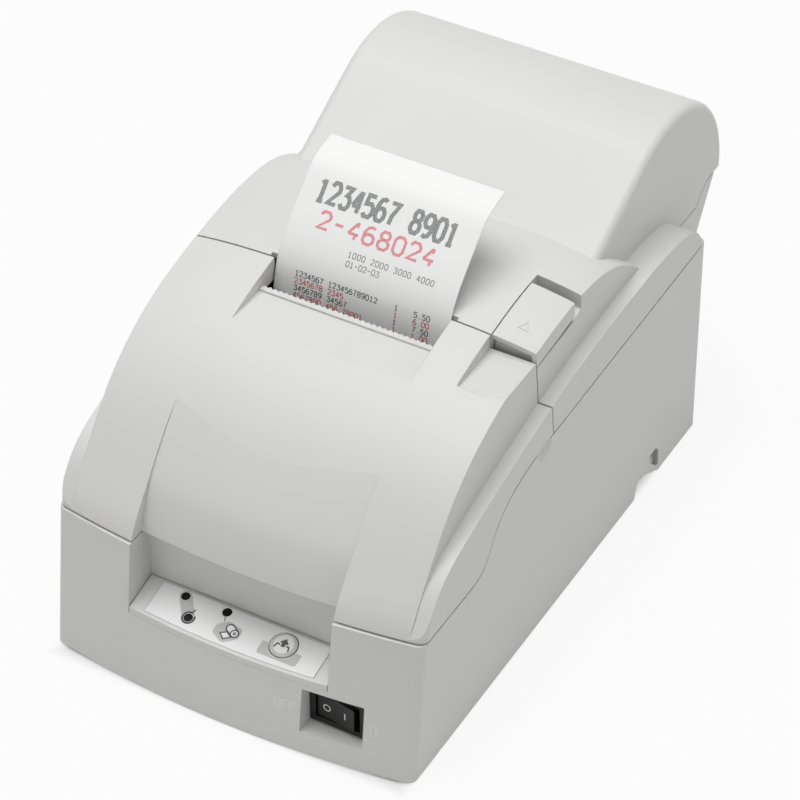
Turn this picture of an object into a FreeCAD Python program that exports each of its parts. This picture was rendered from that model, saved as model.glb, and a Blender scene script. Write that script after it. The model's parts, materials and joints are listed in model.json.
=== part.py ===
import FreeCAD, Part
import math
import os

# Receipt printer with a ribbon print head, cutter, drop-in roll and take-up spool.
# Millimetres, +X to the right, +Y to the rear, +Z up. The origin is on the table, at the
# middle of the width and of the overall depth.

V = FreeCAD.Vector
os.makedirs("parts", exist_ok=True)

# Overall sizes
case_width = 160.0
overall_depth = 286.0
rear_overhang = 38.0
seam_front_z = 64.8
cover_height = 92.7
wall = 2.5

half = case_width / 2
front_y = -overall_depth / 2
rear_y = front_y + overall_depth - rear_overhang
hump_top_z = seam_front_z + cover_height
far = 2 * overall_depth


def behind_front(points):
    """Profile from (distance behind the front, share of the covers' height) to (y, z)."""
    return [(front_y + d, seam_front_z + share * cover_height) for d, share in points]


def before_rear(points):
    """Profile from (distance before the rear wall, share of the covers' height) to (y, z)."""
    return [(rear_y - d, seam_front_z + share * cover_height) for d, share in points]


# Front of the case: bowed in plan and leaning back towards the seam
front_bow_radius = 430.0
front_lean = 8.2
corner_radius = 4.0
seam_gap = 0.8
cover_setback = 1.0
lean_rate = front_lean / seam_front_z

# Seam between the case and the two covers, along the side walls, and the split between the covers
seam_rise_start_y = front_y + 53.0
seam_rise_mid_y = front_y + 70.0
seam_rise_mid_z = seam_front_z + 0.142 * cover_height
seam_split_z = seam_front_z + 0.300 * cover_height
seam_rear_z = seam_front_z + 0.382 * cover_height
split_y = front_y + 112.5
split_gap = 0.7
split_tilt = 0.115
split_level = 0.62

# Case floor, feet and rear connector bay
skirt_z = 1.0
floor_bottom_z = 3.0
floor_top_z = floor_bottom_z + wall
foot_radius = 6.5
foot_inset = 11.0
bay_front_y = rear_y - 61.0
bay_height = 34.0
bay_opening_half = half - 18.0
notch_front_y = rear_y - 58.0
slit_y = rear_y - 36.0
notch_slope = [(0.0, -1.0), (3.0, 9.0), (9.0, 8.0), (22.0, 1.3), (22.0, -1.0)]
slit_outline = [(-8.0, 11.0), (-8.0, 14.5), (-3.0, 15.0), (0.0, 12.0), (0.0, 4.0), (-3.0, 5.5)]
thumb_y = front_y + 108.6
thumb_radius = 11.0
thumb_depth = 1.7

# Control panel recess in the front
panel_half = half - 36.0
panel_lip_z = 35.5
panel_depth = 19.0
panel_rise = 4.3
panel_plate = 2.5
overlay_half = panel_half - 6.5
overlay_thickness = 0.4
lamp_radius = 1.8
lamp_places = [(11.5 - overlay_half, 15.0), (17.5 - overlay_half, 7.0), (29.9 - overlay_half, 15.2)]
lamp_rise = 0.15
button_x = overlay_half - 17.7
button_inset = 11.0
button_radius = 5.5
button_clearance = 0.35
button_travel = 0.8
button_rise = 0.5

# Power switch in the front, to the right
switch_x = half - 33.6
switch_z = 21.0
switch_recess_width = 25.6
switch_recess_height = 20.0
switch_recess_depth = 5.5
switch_recess_flare = 0.5
switch_width = 21.6
switch_height = 14.6
switch_rim = 1.2
switch_depth = 18.0
rocker_tilt = 7.0
rocker_depth = 3.0
rocker_rise = 1.6
rocker_dip = 0.5
rocker_clearance = 0.35
rocker_pin = 0.7
rocker_rake = 1.5

# Deck of the covers: profile at the middle of the width, front to rear
rail_width = 6.0
deck_half = half - rail_width
deck_drop = 4.0
deck_front = behind_front([(8.4, -0.052), (9.8, 0.013), (12.8, 0.078), (19.4, 0.173)])
deck_slope = behind_front([(33.0, 0.354), (47.0, 0.502), (62.0, 0.608), (77.0, 0.680)])
deck_top = behind_front([(109.0, 0.768), (148.0, 0.804), (173.0, 0.753), (190.0, 0.645), (207.0, 0.466)])
drop_start_y = front_y + 33.0
drop_full_y = front_y + 123.0

# Side rails beside the deck: outline of their top, front to rear
rail_front = behind_front([(12.0, -0.052), (19.4, 0.082), (28.5, 0.203), (51.0, 0.309)])
rail_middle = behind_front([(86.0, 0.399), (128.0, 0.483)])
rail_rear = before_rear([(65.0, 0.531), (27.0, 0.517), (12.0, 0.466), (5.0, 0.347)])

# Front cover details
visor_low = behind_front([(15.6, -0.052), (16.6, 0.013), (19.4, 0.110)])
visor_high = behind_front([(24.2, 0.224), (30.0, 0.310), (36.0, 0.388), (42.0, 0.457), (48.0, 0.523)])
receipt_width = 76.0
paper_side_gap = 0.6
paper_half = receipt_width / 2 + paper_side_gap
slot_floor_z = seam_front_z + 0.685 * cover_height
slot_recess_y = front_y + 78.5
slot_rear_y = front_y + 112.9
slot_end_notch = 2.0
tear_bar_y = front_y + 101.5
tear_bar_width = 3.0
tear_bar_rise = 0.9
tear_tooth_pitch = 2.4
tear_tooth_depth = 0.9
scoop_x = deck_half - 19.0
scoop_y = front_y + 85.0
scoop_floor_z = slot_floor_z
tab_x = panel_half + 7.0
tab_width = 8.0
tab_thickness = 1.6
tab_length = 7.5
tab_gap = 0.4
rocking_radius = 1.4
rocking_length = 3.0
rocking_y = front_y + 13.2
rocking_gap = 0.25
rocking_z = seam_front_z + rocking_radius + rocking_gap

# Rear cover: hump over the take-up spool, hinge at its rear lip
hump_half = half - 12.5
hump_lip_z = seam_front_z + 0.444 * cover_height
hump_back_height = 2.0412
hump_radius = hump_top_z - hump_lip_z - hump_back_height
hump_slope = 0.5
hump_edge_radius = 3.5
hump_side_bottom_z = seam_front_z + 0.360 * cover_height
skirt_reach = 23.4
lip_rise = 9.5
hinge_rise = 3.0
rear_hinge_inset = 6.2
rear_hinge_pin = 1.5
rear_hinge_x = hump_half - 19.0
hinge_lug_width = 6.0
hinge_side_gap = 0.4
running_clearance = 0.06

# Rear panel behind the spool, fixed to the case
panel_foot_z = 57.0
rear_panel_inset = 7.4
rear_panel_side_gap = 0.6

# Cover lever on the right of the rear cover
lever_width = 18.4
lever_length = 30.0
lever_gap = 0.5
lever_back_room = 5.4
lever_skirt = 6.0
lever_taper = 3.2
lever_wall = 1.6
lever_lip = 2.0
lever_undercut = 1.2
lever_floor_z = seam_front_z + 0.606 * cover_height
lever_shaft_y = front_y + 131.0
lever_shaft_drop = 9.0
lever_shaft_radius = 2.5
lever_arm_width = 5.0
lever_arm_x = deck_half - 5.5
lever_swing_room = 2.2
hook_width = 3.0
hook_length = 19.0
hook_depth = 5.0
hook_nose = 4.0
latch_pin_radius = 2.0
latch_pin_gap = 0.8
bracket_width = 3.0

# Print mechanism frame
frame_base_z = 40.0
sheet = 1.5
frame_half = deck_half - 10.0
frame_front_y = front_y + 39.0
frame_rear_y = front_y + 143.0
frame_top_z = 108.0
post_radius = 4.0
post_x = frame_half - 10.0
post_front_y = front_y + 73.0
post_rear_y = front_y + 127.0
hook_x = frame_half - 7.0
bracket_x = hook_x - 9.0

# Ribbon cassette
cassette_half = frame_half - 6.0
cassette_arm = 11.0
cassette_front_y = front_y + 37.0
cassette_body_rear_y = front_y + 46.5
cassette_rear_y = front_y + 90.0
cassette_z = 77.0
cassette_height = 13.0
ribbon_thickness = 0.4
knob_radius = 6.0
knob_height = 4.0

# Carriage, its shaft and belt
shaft_radius = 3.0
shaft_y = front_y + 63.0
shaft_z = 60.0
carriage_width = 28.0
head_radius = 13.0
head_z = 82.0
pulley_x = frame_half - 14.0
pulley_y = front_y + 52.0
pulley_z = 45.0
pulley_radius = 5.0
belt_width = 5.0
belt_thickness = 1.0
belt_gap = 0.3
motor_radius = 14.0
motor_length = 25.0

# Platen, paper feed rollers and gears
platen_y = front_y + 95.0
platen_thickness = 4.0
platen_z = 75.0
platen_height = 14.0
roller_y = front_y + 113.0
roller_z = 96.0
roller_radius = 6.0
roller_shaft_radius = 2.5
pinch_radius = 4.0
pinch_shaft_radius = 1.5
paper_gap = 0.6
gear_module = 1.0
gear_width = 4.0
pinion_teeth = 12
idler_teeth = 32
roller_teeth = 24
gear_backlash = 0.34
gear_addendum = 0.75
gear_dedendum = 1.3
mesh_spread = 0.25
feed_motor_y = front_y + 86.0
feed_motor_z = 57.0
feed_motor_radius = 12.0
feed_motor_length = 21.0

# Cutter
cutter_plate = 2.0
cutter_front_y = front_y + 83.0
cutter_rear_y = front_y + 117.0
cutter_slot_front_y = front_y + 101.0
cutter_slot_rear_y = front_y + 108.5
blade_thickness = 1.2
blade_half = 42.0
blade_gap = 0.3
blade_length = 12.0
blade_travel = 9.0
blade_bar = 5.9

# Paper supply, take-up spool and receipt
roll_y = rear_y - 57.0
tray_radius = 44.0
roll_radius = 33.0
roll_width = 75.0
core_radius = 8.5
core_wall = 1.5
fit_gap = 0.3
spool_y = rear_y - 11.0
spool_z = 110.0
spool_flange_radius = 24.0
spool_core_radius = 9.0
spool_shaft_radius = 3.0
spool_bracket_x = hump_half - 17.5
spool_bracket_half = 6.0
spool_half = 38.0
takeup_motor_radius = 14.0
takeup_motor_length = 9.0
tray_half = 41.0
tray_top_z = 75.0
receipt_thickness = 0.3
receipt_path = behind_front([(105.4, 0.526), (108.4, 0.639), (111.8, 0.764), (118.2, 0.867), (130.0, 0.988),
                             (140.5, 1.070), (154.5, 1.106)])

# Electronics
board_z = 16.0
board_thickness = 1.6
board_half = 44.0
capacitor_radius = 5.0
capacitor_height = 12.0
capacitor_inset = 11.0
capacitor_pitch = 13.0
board_front_y = front_y + 103.0
board_rear_y = rear_y - 67.0
connector_plate_half = 52.0
connector_z = 18.0
connector_depth = 11.0
connector_height = 13.0
connector_lip = 2.0
inlet_x = -38.0
inlet_width = 15.0
inlet_bore = 5.0
jack_x = -14.0
jack_width = 15.0
interface_x = 22.0
interface_width = 40.0
screw_head_radius = 3.0
screw_head_height = 1.6
service_half_x = 26.0
service_half_y = 18.0
service_plate = 1.2
service_y = front_y + 101.0


def save(shape, name):
    """Write one node."""
    shape.exportStep("parts/" + name + ".step")


def box(x0, x1, y0, y1, z0, z1):
    """Box between two corners."""
    return Part.makeBox(x1 - x0, y1 - y0, z1 - z0, V(x0, y0, z0))


def side_box(xa, xb, y0, y1, z0, z1):
    """Box between two values of x, given in either order."""
    return box(min(xa, xb), max(xa, xb), y0, y1, z0, z1)


def rod_x(radius, x0, x1, y, z):
    """Cylinder along X."""
    return Part.makeCylinder(radius, x1 - x0, V(x0, y, z), V(1, 0, 0))


def rod_y(radius, y0, y1, x, z):
    """Cylinder along Y."""
    return Part.makeCylinder(radius, y1 - y0, V(x, y0, z), V(0, 1, 0))


def rod_z(radius, z0, z1, x, y):
    """Cylinder along Z."""
    return Part.makeCylinder(radius, z1 - z0, V(x, y, z0), V(0, 0, 1))


def slab(points, x0, x1):
    """Polygon of (y, z) points, extruded along X."""
    corners = [V(x0, y, z) for y, z in points]
    return Part.Face(Part.makePolygon(corners + corners[:1])).extrude(V(x1 - x0, 0, 0))


def spline_edge(points):
    """Smooth edge through 3D points."""
    curve = Part.BSplineCurve()
    curve.interpolate(points)
    return curve.toShape()


def closed_wire(curve_points, corner_points):
    """Wire of one smooth run and then straight runs back to its start."""
    corners = [curve_points[-1]] + corner_points + [curve_points[0]]
    lines = [Part.makeLine(a, b) for a, b in zip(corners, corners[1:])]
    return Part.Wire([spline_edge(curve_points)] + lines)


def union(shapes):
    """One solid from several that meet."""
    return shapes[0].fuse(shapes[1:]).removeSplitter()


def bow(x):
    """How far the bowed front stands back at x."""
    return front_bow_radius - math.sqrt(front_bow_radius ** 2 - x ** 2)


def front_at(x, z):
    """Y of the case's front face."""
    return front_y + bow(x) + lean_rate * z


def leaning_prism(half_width, front, rear, z0, z1, radius):
    """Case outline with its bowed front, extruded along the lean of the front."""
    start = front + lean_rate * z0
    side = start + bow(half_width)
    left = V(-half_width, side, z0)
    right = V(half_width, side, z0)
    arc = Part.Arc(left, V(0, start, z0), right).toShape()
    far_right = V(half_width, rear + front_lean * 2, z0)
    far_left = V(-half_width, rear + front_lean * 2, z0)
    corners = [right, far_right, far_left, left]
    lines = [Part.makeLine(a, b) for a, b in zip(corners, corners[1:])]
    rise = z1 - z0
    prism = Part.Face(Part.Wire([arc] + lines)).extrude(V(0, lean_rate * rise, rise))
    prism = prism.common(box(-half_width, half_width, front - far, rear, z0, z1))
    upright = [e for e in prism.Edges if e.BoundBox.ZLength > rise * 0.9]
    return prism.makeFillet(radius, upright)


def seam_region(shift):
    """Everything above the side seam, raised by shift."""
    x = -half - 10
    front = V(x, front_y - 20, seam_front_z + shift)
    start = V(x, seam_rise_start_y, seam_front_z + shift)
    middle = V(x, seam_rise_mid_y, seam_rise_mid_z + shift)
    split = V(x, split_y, seam_split_z + shift)
    end = V(x, overall_depth, seam_rear_z + (seam_rear_z - seam_split_z) * 0.2 + shift)
    rise = Part.BSplineCurve()
    rise.interpolate(Points=[start, middle, split], InitialTangent=V(0, 30, 0), FinalTangent=V(0, 40, 3))
    top_rear = V(x, overall_depth, far)
    top_front = V(x, front_y - 20, far)
    lines = [Part.makeLine(front, start), Part.makeLine(split, end), Part.makeLine(end, top_rear)]
    lines += [Part.makeLine(top_rear, top_front), Part.makeLine(top_front, front)]
    wire = Part.Wire(Part.__sortEdges__(lines + [rise.toShape()]))
    return Part.Face(wire).extrude(V(case_width + 20, 0, 0))


def inward(points, distance):
    """Profile points moved inwards, square to the run of their neighbours."""
    moved = []
    for i, (y, z) in enumerate(points):
        before = points[max(i - 1, 0)]
        after = points[min(i + 1, len(points) - 1)]
        dy = after[0] - before[0]
        dz = after[1] - before[1]
        length = math.hypot(dy, dz)
        moved.append((y + dz / length * distance, z - dy / length * distance))
    return moved


def front_share(y):
    """Share of the bow that a profile point takes: all at the front, none at the top."""
    return min(max(y / front_y, 0.0), 1.0)


def top_share(y):
    """Share of the shoulder drop that a profile point takes: none at the front, all at the top."""
    return min(max((y - drop_start_y) / (drop_full_y - drop_start_y), 0.0), 1.0)


def crowned_loft(points, half_width, corner_points):
    """Profile carried across the width, bowed at the front and dropping towards its shoulders."""
    wires = []
    for share in (-1.0, -0.7, 0.0, 0.7, 1.0):
        x = half_width * share
        drop = deck_drop * (x / deck_half) ** 4
        run = [V(x, y + bow(x) * front_share(y), z - drop * top_share(y)) for y, z in points]
        wires.append(closed_wire(run, [V(x, y, z) for y, z in corner_points]))
    return Part.makeLoft(wires, True, False)


def deck_solid(inset):
    """Body under the deck, whole or hollowed by inset."""
    points = deck_front + deck_slope + deck_top
    base = deck_front[0][1]
    if inset:
        points = inward(points, inset)
    points[0] = (points[0][0], base)
    return crowned_loft(points, deck_half - inset, [(points[-1][0], base)])


def rail_solid(inset):
    """Body under the side rails, across the whole width."""
    points = rail_front + rail_middle + rail_rear
    if inset:
        points = inward(points, inset)
    base = rail_front[0][1]
    points[0] = (points[0][0], base)
    x = -half + inset
    run = [V(x, y, z) for y, z in points]
    wire = closed_wire(run, [V(x, points[-1][0], base)])
    body = Part.Face(wire).extrude(V(2 * (half - inset), 0, 0))
    front = front_y + cover_setback + inset
    return body.common(leaning_prism(half - inset, front, rear_y, base - 1, hump_top_z, corner_radius))


hump_rear_y = -front_at(0, skirt_z)
skirt_end_y = hump_rear_y - skirt_reach


def hump_solid(inset):
    """Hump over the spool: a slope up to a round back."""
    radius = hump_radius - inset
    centre_y = hump_rear_y - hump_radius
    centre_z = hump_top_z - hump_radius
    slant = math.atan(hump_slope)
    tangent = (centre_y - radius * math.sin(slant), centre_z + radius * math.cos(slant))
    start_y = deck_top[1][0] + 10
    start = (start_y, tangent[1] - (tangent[0] - start_y) * hump_slope)
    x = -hump_half + inset
    back = centre_y + radius
    base = [(back, hump_lip_z), (skirt_end_y + lip_rise, hump_lip_z), (skirt_end_y, hump_side_bottom_z)]
    base += [(start_y, hump_side_bottom_z)]
    if inset:
        base = [(back, floor_top_z), (start_y, floor_top_z)]
    run = [V(x, y, z) for y, z in [start, tangent, (back, centre_z)] + base]
    top = V(x, centre_y + radius * math.sin(math.pi / 4), centre_z + radius * math.cos(math.pi / 4))
    edges = [Part.makeLine(run[0], run[1]), Part.Arc(run[1], top, run[2]).toShape()]
    edges += [Part.makeLine(a, b) for a, b in zip(run[2:], run[3:] + run[:1])]
    body = Part.Face(Part.Wire(edges)).extrude(V(2 * (hump_half - inset), 0, 0))
    side = [e for e in body.Edges if e.BoundBox.XLength < 0.1 and e.CenterOfMass.z > centre_z + 10]
    side = [e for e in side if e.CenterOfMass.y > start_y + 5]
    return body.makeFillet(max(hump_edge_radius - inset, 1.0), side)


def panel_z(y):
    """Height of the control panel's top face."""
    lip_y = front_at(0, panel_lip_z)
    return panel_lip_z + panel_rise * (y - lip_y) / panel_depth


def panel_slab(half_width, low, high, back_inset):
    """Layer parallel to the control panel, from low to high above its top face."""
    start = front_y - 5
    end = front_at(0, panel_lip_z) + panel_depth - back_inset
    points = [(start, panel_z(start) + low), (end, panel_z(end) + low)]
    points += [(end, panel_z(end) + high), (start, panel_z(start) + high)]
    return slab(points, -half_width, half_width)


def on_panel(x, inset, radius, low, high):
    """Round bar square to the panel, inset behind its front lip."""
    y = front_at(0, panel_lip_z) + inset
    slant = math.atan2(panel_rise, panel_depth)
    up = V(0, -math.sin(slant), math.cos(slant))
    base = V(x, y, panel_z(y)) + up * low
    return Part.makeCylinder(radius, high - low, base, up)


def rectangle(width, height, y):
    """Rectangle round the switch's centre, facing the front."""
    x0 = switch_x - width / 2
    x1 = switch_x + width / 2
    z0 = switch_z - height / 2
    z1 = switch_z + height / 2
    corners = [V(x0, y, z0), V(x1, y, z0), V(x1, y, z1), V(x0, y, z1), V(x0, y, z0)]
    return Part.makePolygon(corners)


switch_face_y = front_at(switch_x, switch_z)
switch_floor_y = switch_face_y + switch_recess_depth
panel_back_y = front_at(0, panel_lip_z) + panel_depth
case_top_z = seam_rear_z + 10
outline = leaning_prism(half, front_y, rear_y, skirt_z, case_top_z, corner_radius)


def lower_case():
    """Moulded case: walls, floor, panel recess, switch recess, bay and posts."""
    inner = corner_radius - wall
    cavity = leaning_prism(half - wall, front_y + wall, rear_y - wall, floor_top_z, case_top_z + 1, inner)
    under = leaning_prism(half - wall, front_y + wall, rear_y - wall, 0, floor_bottom_z, inner)
    shell = outline.cut([cavity, under])
    depth = panel_plate + wall
    recess = panel_slab(panel_half + wall, -depth, seam_front_z, -wall)
    switch_box = box(switch_x - switch_recess_width / 2 - wall, switch_x + switch_recess_width / 2 + wall,
                     front_y, switch_floor_y + wall,
                     switch_z - switch_recess_height / 2 - wall, switch_z + switch_recess_height / 2 + wall)
    inside = half - wall / 2
    bay = box(-inside, inside, bay_front_y - wall, rear_y - wall / 2, floor_bottom_z, bay_height + wall)
    posts = [rod_z(post_radius, floor_bottom_z + 1, frame_base_z, sx * post_x, y)
             for sx in (-1, 1) for y in (post_front_y, post_rear_y)]
    board_posts = [rod_z(post_radius, floor_bottom_z + 1, board_z, sx * (board_half - 6), y)
                   for sx in (-1, 1) for y in (board_front_y + 6, board_rear_y - 6)]
    body = union([shell] + [s.common(outline) for s in (recess, switch_box, bay)] + posts + board_posts)
    voids = [panel_slab(panel_half, -panel_plate, seam_front_z * 2, 0), seam_region(0)]
    voids.append(box(-half + wall, half - wall, bay_front_y, rear_y - wall, -1, bay_height))
    voids.append(box(-bay_opening_half, bay_opening_half, rear_y - wall - 1, rear_y + 1, -1, bay_height))
    voids.append(box(-hump_half + 2 * wall, hump_half - 2 * wall, rear_y - wall - 1, rear_y + 1,
                     panel_foot_z + 2 * wall, case_top_z + 2))
    reach = 2 * wall
    notch = [(notch_front_y + d, z) for d, z in notch_slope]
    slit = [(slit_y + d, z) for d, z in slit_outline]
    for hole in (notch, slit):
        voids += [slab(hole, half - reach, half + reach), slab(hole, -half - reach, -half + reach)]
    flare = switch_recess_flare * 2
    mouth_y = switch_face_y - switch_recess_depth
    mouth = rectangle(switch_recess_width + flare, switch_recess_height + flare, mouth_y)
    seat = rectangle(switch_recess_width - flare, switch_recess_height - flare, switch_floor_y)
    voids.append(Part.makeLoft([mouth, seat], True, True))
    voids.append(box(switch_x - switch_width / 2, switch_x + switch_width / 2, switch_floor_y - 1,
                     switch_floor_y + wall + 1, switch_z - switch_height / 2, switch_z + switch_height / 2))
    thumb_z = seam_split_z - 1
    for sx in (-1, 1):
        middle = V(sx * (half + thumb_radius - thumb_depth), thumb_y, thumb_z)
        voids.append(Part.makeSphere(thumb_radius, middle))
    voids.append(on_panel(button_x, button_inset, button_radius + button_clearance, -depth - 2, 2))
    voids += [on_panel(x, inset, lamp_radius + fit_gap / 2, -depth - 2, 2) for x, inset in lamp_places]
    pads = []
    for sx in (-1, 1):
        x0 = sx * (half - wall / 2)
        x1 = sx * (half - foot_inset - foot_radius - 2)
        pad = side_box(x0, x1, rear_y - 2 * foot_inset, rear_y - wall / 2, floor_bottom_z, floor_top_z + wall)
        pads.append(pad.common(outline))
    body = body.cut(voids)
    return union([body] + pads)


save(lower_case(), "lower_case")


def rubber_feet():
    """Four feet, under the floor in front and under the corner pads behind."""
    places = [(sx * (half - 2 * foot_inset), front_y + 3 * foot_inset) for sx in (-1, 1)]
    places += [(sx * (half - foot_inset), rear_y - foot_inset) for sx in (-1, 1)]
    return Part.makeCompound([rod_z(foot_radius, 0, floor_bottom_z, x, y) for x, y in places])


save(rubber_feet(), "rubber_feet")


def control_panel():
    """Panel plate in the recess, with holes for the lamps and the button."""
    plate = panel_slab(panel_half - fit_gap, -panel_plate, 0, fit_gap).common(outline)
    holes = [on_panel(x, inset, lamp_radius + fit_gap / 2, -2 * panel_plate, 2) for x, inset in lamp_places]
    holes.append(on_panel(button_x, button_inset, button_radius + button_clearance, -2 * panel_plate, 2))
    return plate.cut(holes)


def panel_overlay():
    """Thin film on the panel, its front edge along the bowed lip."""
    margin = leaning_prism(half, front_y + 1.3, rear_y, skirt_z, case_top_z, corner_radius)
    film = panel_slab(overlay_half, 0, overlay_thickness, 1.2).common(margin)
    holes = [on_panel(x, inset, lamp_radius + fit_gap / 2, -1, 2) for x, inset in lamp_places]
    holes.append(on_panel(button_x, button_inset, button_radius + button_clearance, -1, 2))
    return film.cut(holes)


def status_lamps():
    """Round lamps through the panel."""
    return Part.makeCompound([on_panel(x, inset, lamp_radius, -panel_plate, overlay_thickness + lamp_rise)
                              for x, inset in lamp_places])


def feed_button():
    """Round push button with its stem."""
    cap = on_panel(button_x, button_inset, button_radius, -panel_plate, overlay_thickness + button_rise)
    edge = max(cap.Edges, key=lambda e: e.CenterOfMass.z)
    cap = cap.makeFillet(button_rise * 0.8, [edge])
    stem = on_panel(button_x, button_inset, button_radius / 2, -panel_plate - wall - 1, -panel_plate + 0.5)
    return union([cap, stem])


save(control_panel(), "control_panel")
save(panel_overlay(), "panel_overlay")
save(status_lamps(), "status_lamps")
save(feed_button(), "feed_button")


def panel_board():
    """Circuit board under the panel recess, with the button's switch."""
    depth = panel_plate + wall
    switch_side = switch_x - switch_recess_width / 2 - wall - fit_gap
    board = panel_slab(min(overlay_half, switch_side), -depth - board_thickness, -depth, 4.0)
    keep = leaning_prism(half, front_y + 3 * wall, rear_y, skirt_z, case_top_z, corner_radius)
    stem_end = -depth - 1 - button_travel - 0.4
    hole = on_panel(button_x, button_inset, button_radius / 2 + button_clearance, stem_end, -depth + 1)
    return board.common(keep).cut(hole)


save(panel_board(), "panel_board")


def switch_block(extra, y, depth):
    """Block in the switch's outline, larger by extra, from y to the rear."""
    return Part.Face(rectangle(switch_width + extra, switch_height + extra, y)).extrude(V(0, depth, 0))


def switch_housing():
    """Rim on the recess floor and the body behind it, open for the rocker."""
    rim = switch_block(2 * switch_rim, switch_floor_y - switch_rim, switch_rim)
    body = switch_block(-fit_gap, switch_floor_y, switch_depth)
    pocket = switch_block(-2 * switch_rim, switch_floor_y - 2 * switch_rim, switch_depth)
    reach = switch_height / 2 - switch_rim + rocker_pin + fit_gap
    pivot_y = switch_floor_y + rocker_depth
    bearing = rod_z(rocker_pin + running_clearance, switch_z - reach, switch_z + reach, switch_x, pivot_y)
    return union([rim, body]).cut([pocket, bearing])


def power_rocker():
    """Rocker at rest with its left side pressed in."""
    length = switch_width / 2 - switch_rim - rocker_clearance - 0.7
    height = switch_height - 2 * switch_rim - 2 * rocker_clearance
    y = switch_floor_y + rocker_depth
    z = switch_z - height / 2
    front = rocker_depth + rocker_rise
    foot = length - rocker_rake
    profile = [(-length, front), (0, front - rocker_dip), (length, front)]
    profile += [(foot, -rocker_depth), (-foot, -rocker_depth)]
    corners = [V(switch_x + u, y - v, z) for u, v in profile]
    rocker = Part.Face(Part.makePolygon(corners + corners[:1])).extrude(V(0, 0, height))
    reach = rocker_clearance + rocker_pin
    rocker = union([rocker, rod_z(rocker_pin, z - reach, z + height + reach, switch_x, y)])
    rocker.rotate(V(switch_x, y, 0), V(0, 0, 1), -rocker_tilt)
    return rocker


save(switch_housing(), "switch_housing")
save(power_rocker(), "power_rocker")


def visor_cutter(inset):
    """Space in front of the visor between the two posts."""
    points = [(y + inset, z) for y, z in visor_low + visor_high]
    side = panel_half + inset
    wires = []
    for x in (-side, 0, side):
        run = [V(x, y + bow(x), z) for y, z in points]
        ahead = [V(x, front_y - 20, points[-1][1]), V(x, front_y - 20, points[0][1])]
        wires.append(closed_wire(run, ahead))
    return Part.makeLoft(wires, True, False)


def slot_cutter(inset):
    """Level recess in front of the paper slot."""
    side = paper_half + inset
    return box(-side, side, slot_recess_y - inset, split_y + 10, slot_floor_z - inset, hump_top_z)


def scoop_cutter(inset):
    """Finger scoop in front of the cover lever, open to the right."""
    return box(scoop_x - inset, half, scoop_y - inset, split_y + 10, scoop_floor_z - inset, hump_top_z)


def split_side(ahead):
    """Everything ahead of the leaning split between the covers, or everything behind it."""
    level = seam_front_z + split_level * cover_height
    shift = -split_gap / 2 if ahead else split_gap / 2
    low = split_y + shift + level * split_tilt
    high = split_y + shift + (level - 2 * hump_top_z) * split_tilt
    end = front_y - 20 if ahead else overall_depth
    points = [(end, 0), (low, 0), (high, 2 * hump_top_z), (end, 2 * hump_top_z)]
    return slab(points, -half - 1, half + 1)


def front_cover():
    """Front cover: deck, rails, visor, slot recess, finger scoop and the two tabs it rocks on."""
    outer = union([deck_solid(0), rail_solid(0)])
    inner = union([deck_solid(wall), rail_solid(wall)])
    outer = outer.cut([visor_cutter(0), slot_cutter(0), scoop_cutter(0)])
    inner = inner.cut([visor_cutter(wall), slot_cutter(wall), scoop_cutter(wall)])
    shell = outer.cut(inner).common(seam_region(seam_gap))
    shell = shell.common(split_side(True))
    shell = shell.cut(box(-paper_half, paper_half, tear_bar_y, split_y + 10, 0, hump_top_z))
    tabs = []
    lowered = outer.copy()
    lowered.translate(V(0, 0, -seam_gap))
    edge_z = seam_front_z + seam_gap
    for sx in (-1, 1):
        y = front_at(tab_x + tab_width / 2, seam_front_z) + wall + tab_gap
        x0 = sx * tab_x - tab_width / 2
        x1 = x0 + tab_width
        tabs.append(box(x0, x1, y, y + tab_thickness, seam_front_z - tab_length, edge_z))
        x2 = sx * (panel_half + rocking_length / 2 + fit_gap) - rocking_length / 2
        bead = rod_x(rocking_radius, x2, x2 + rocking_length, rocking_y, rocking_z)
        tabs.append(bead.common(lowered))
        root = box(x0, x1, y - wall, y + tab_thickness, edge_z, seam_front_z + 3 * wall)
        tabs.append(root.common(outer))
    return union([shell] + tabs)


save(front_cover(), "front_cover")


def tear_bar():
    """Saw-edged bar at the rear of the slot recess, its teeth along the paper."""
    side = paper_half - fit_gap
    count = round(2 * side / tear_tooth_pitch)
    front = tear_bar_y - tear_bar_width
    root = tear_bar_y - tear_tooth_depth
    points = [V(-side, front, slot_floor_z), V(-side, root, slot_floor_z)]
    for k in range(count):
        left = -side + 2 * side * k / count
        points.append(V(left + side / count, tear_bar_y, slot_floor_z))
        points.append(V(left + 2 * side / count, root, slot_floor_z))
    points.append(V(side, front, slot_floor_z))
    return Part.Face(Part.makePolygon(points + points[:1])).extrude(V(0, 0, tear_bar_rise))


save(tear_bar(), "tear_bar")


lever_x0 = deck_half - lever_width
lever_rear_y = split_y + lever_length
lever_base_z = deck_top[0][1] - deck_drop - lever_skirt
lever_shaft_z = lever_floor_z - lever_shaft_drop
hinge_y = hump_rear_y - rear_hinge_inset
rear_hinge_z = hump_lip_z + hinge_rise
boss_radius = rear_hinge_pin + 1.7


def lever_well(inset):
    """Well for the cover lever, open to the front, with a sill under the lever's right side."""
    end = lever_rear_y + lever_back_room + inset
    side = deck_half - wall
    well = box(lever_x0 - lever_gap - inset, side, split_y - 10, end, lever_floor_z - inset, hump_top_z)
    low = lever_base_z - lever_gap
    front = split_y - 10
    sill = [(front, low), (split_y, low), (lever_rear_y, lever_base_z + lever_taper - lever_swing_room)]
    sill += [(end, lever_base_z + lever_taper), (end, hump_top_z), (front, hump_top_z)]
    return well.fuse(slab(sill, side, half))


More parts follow.
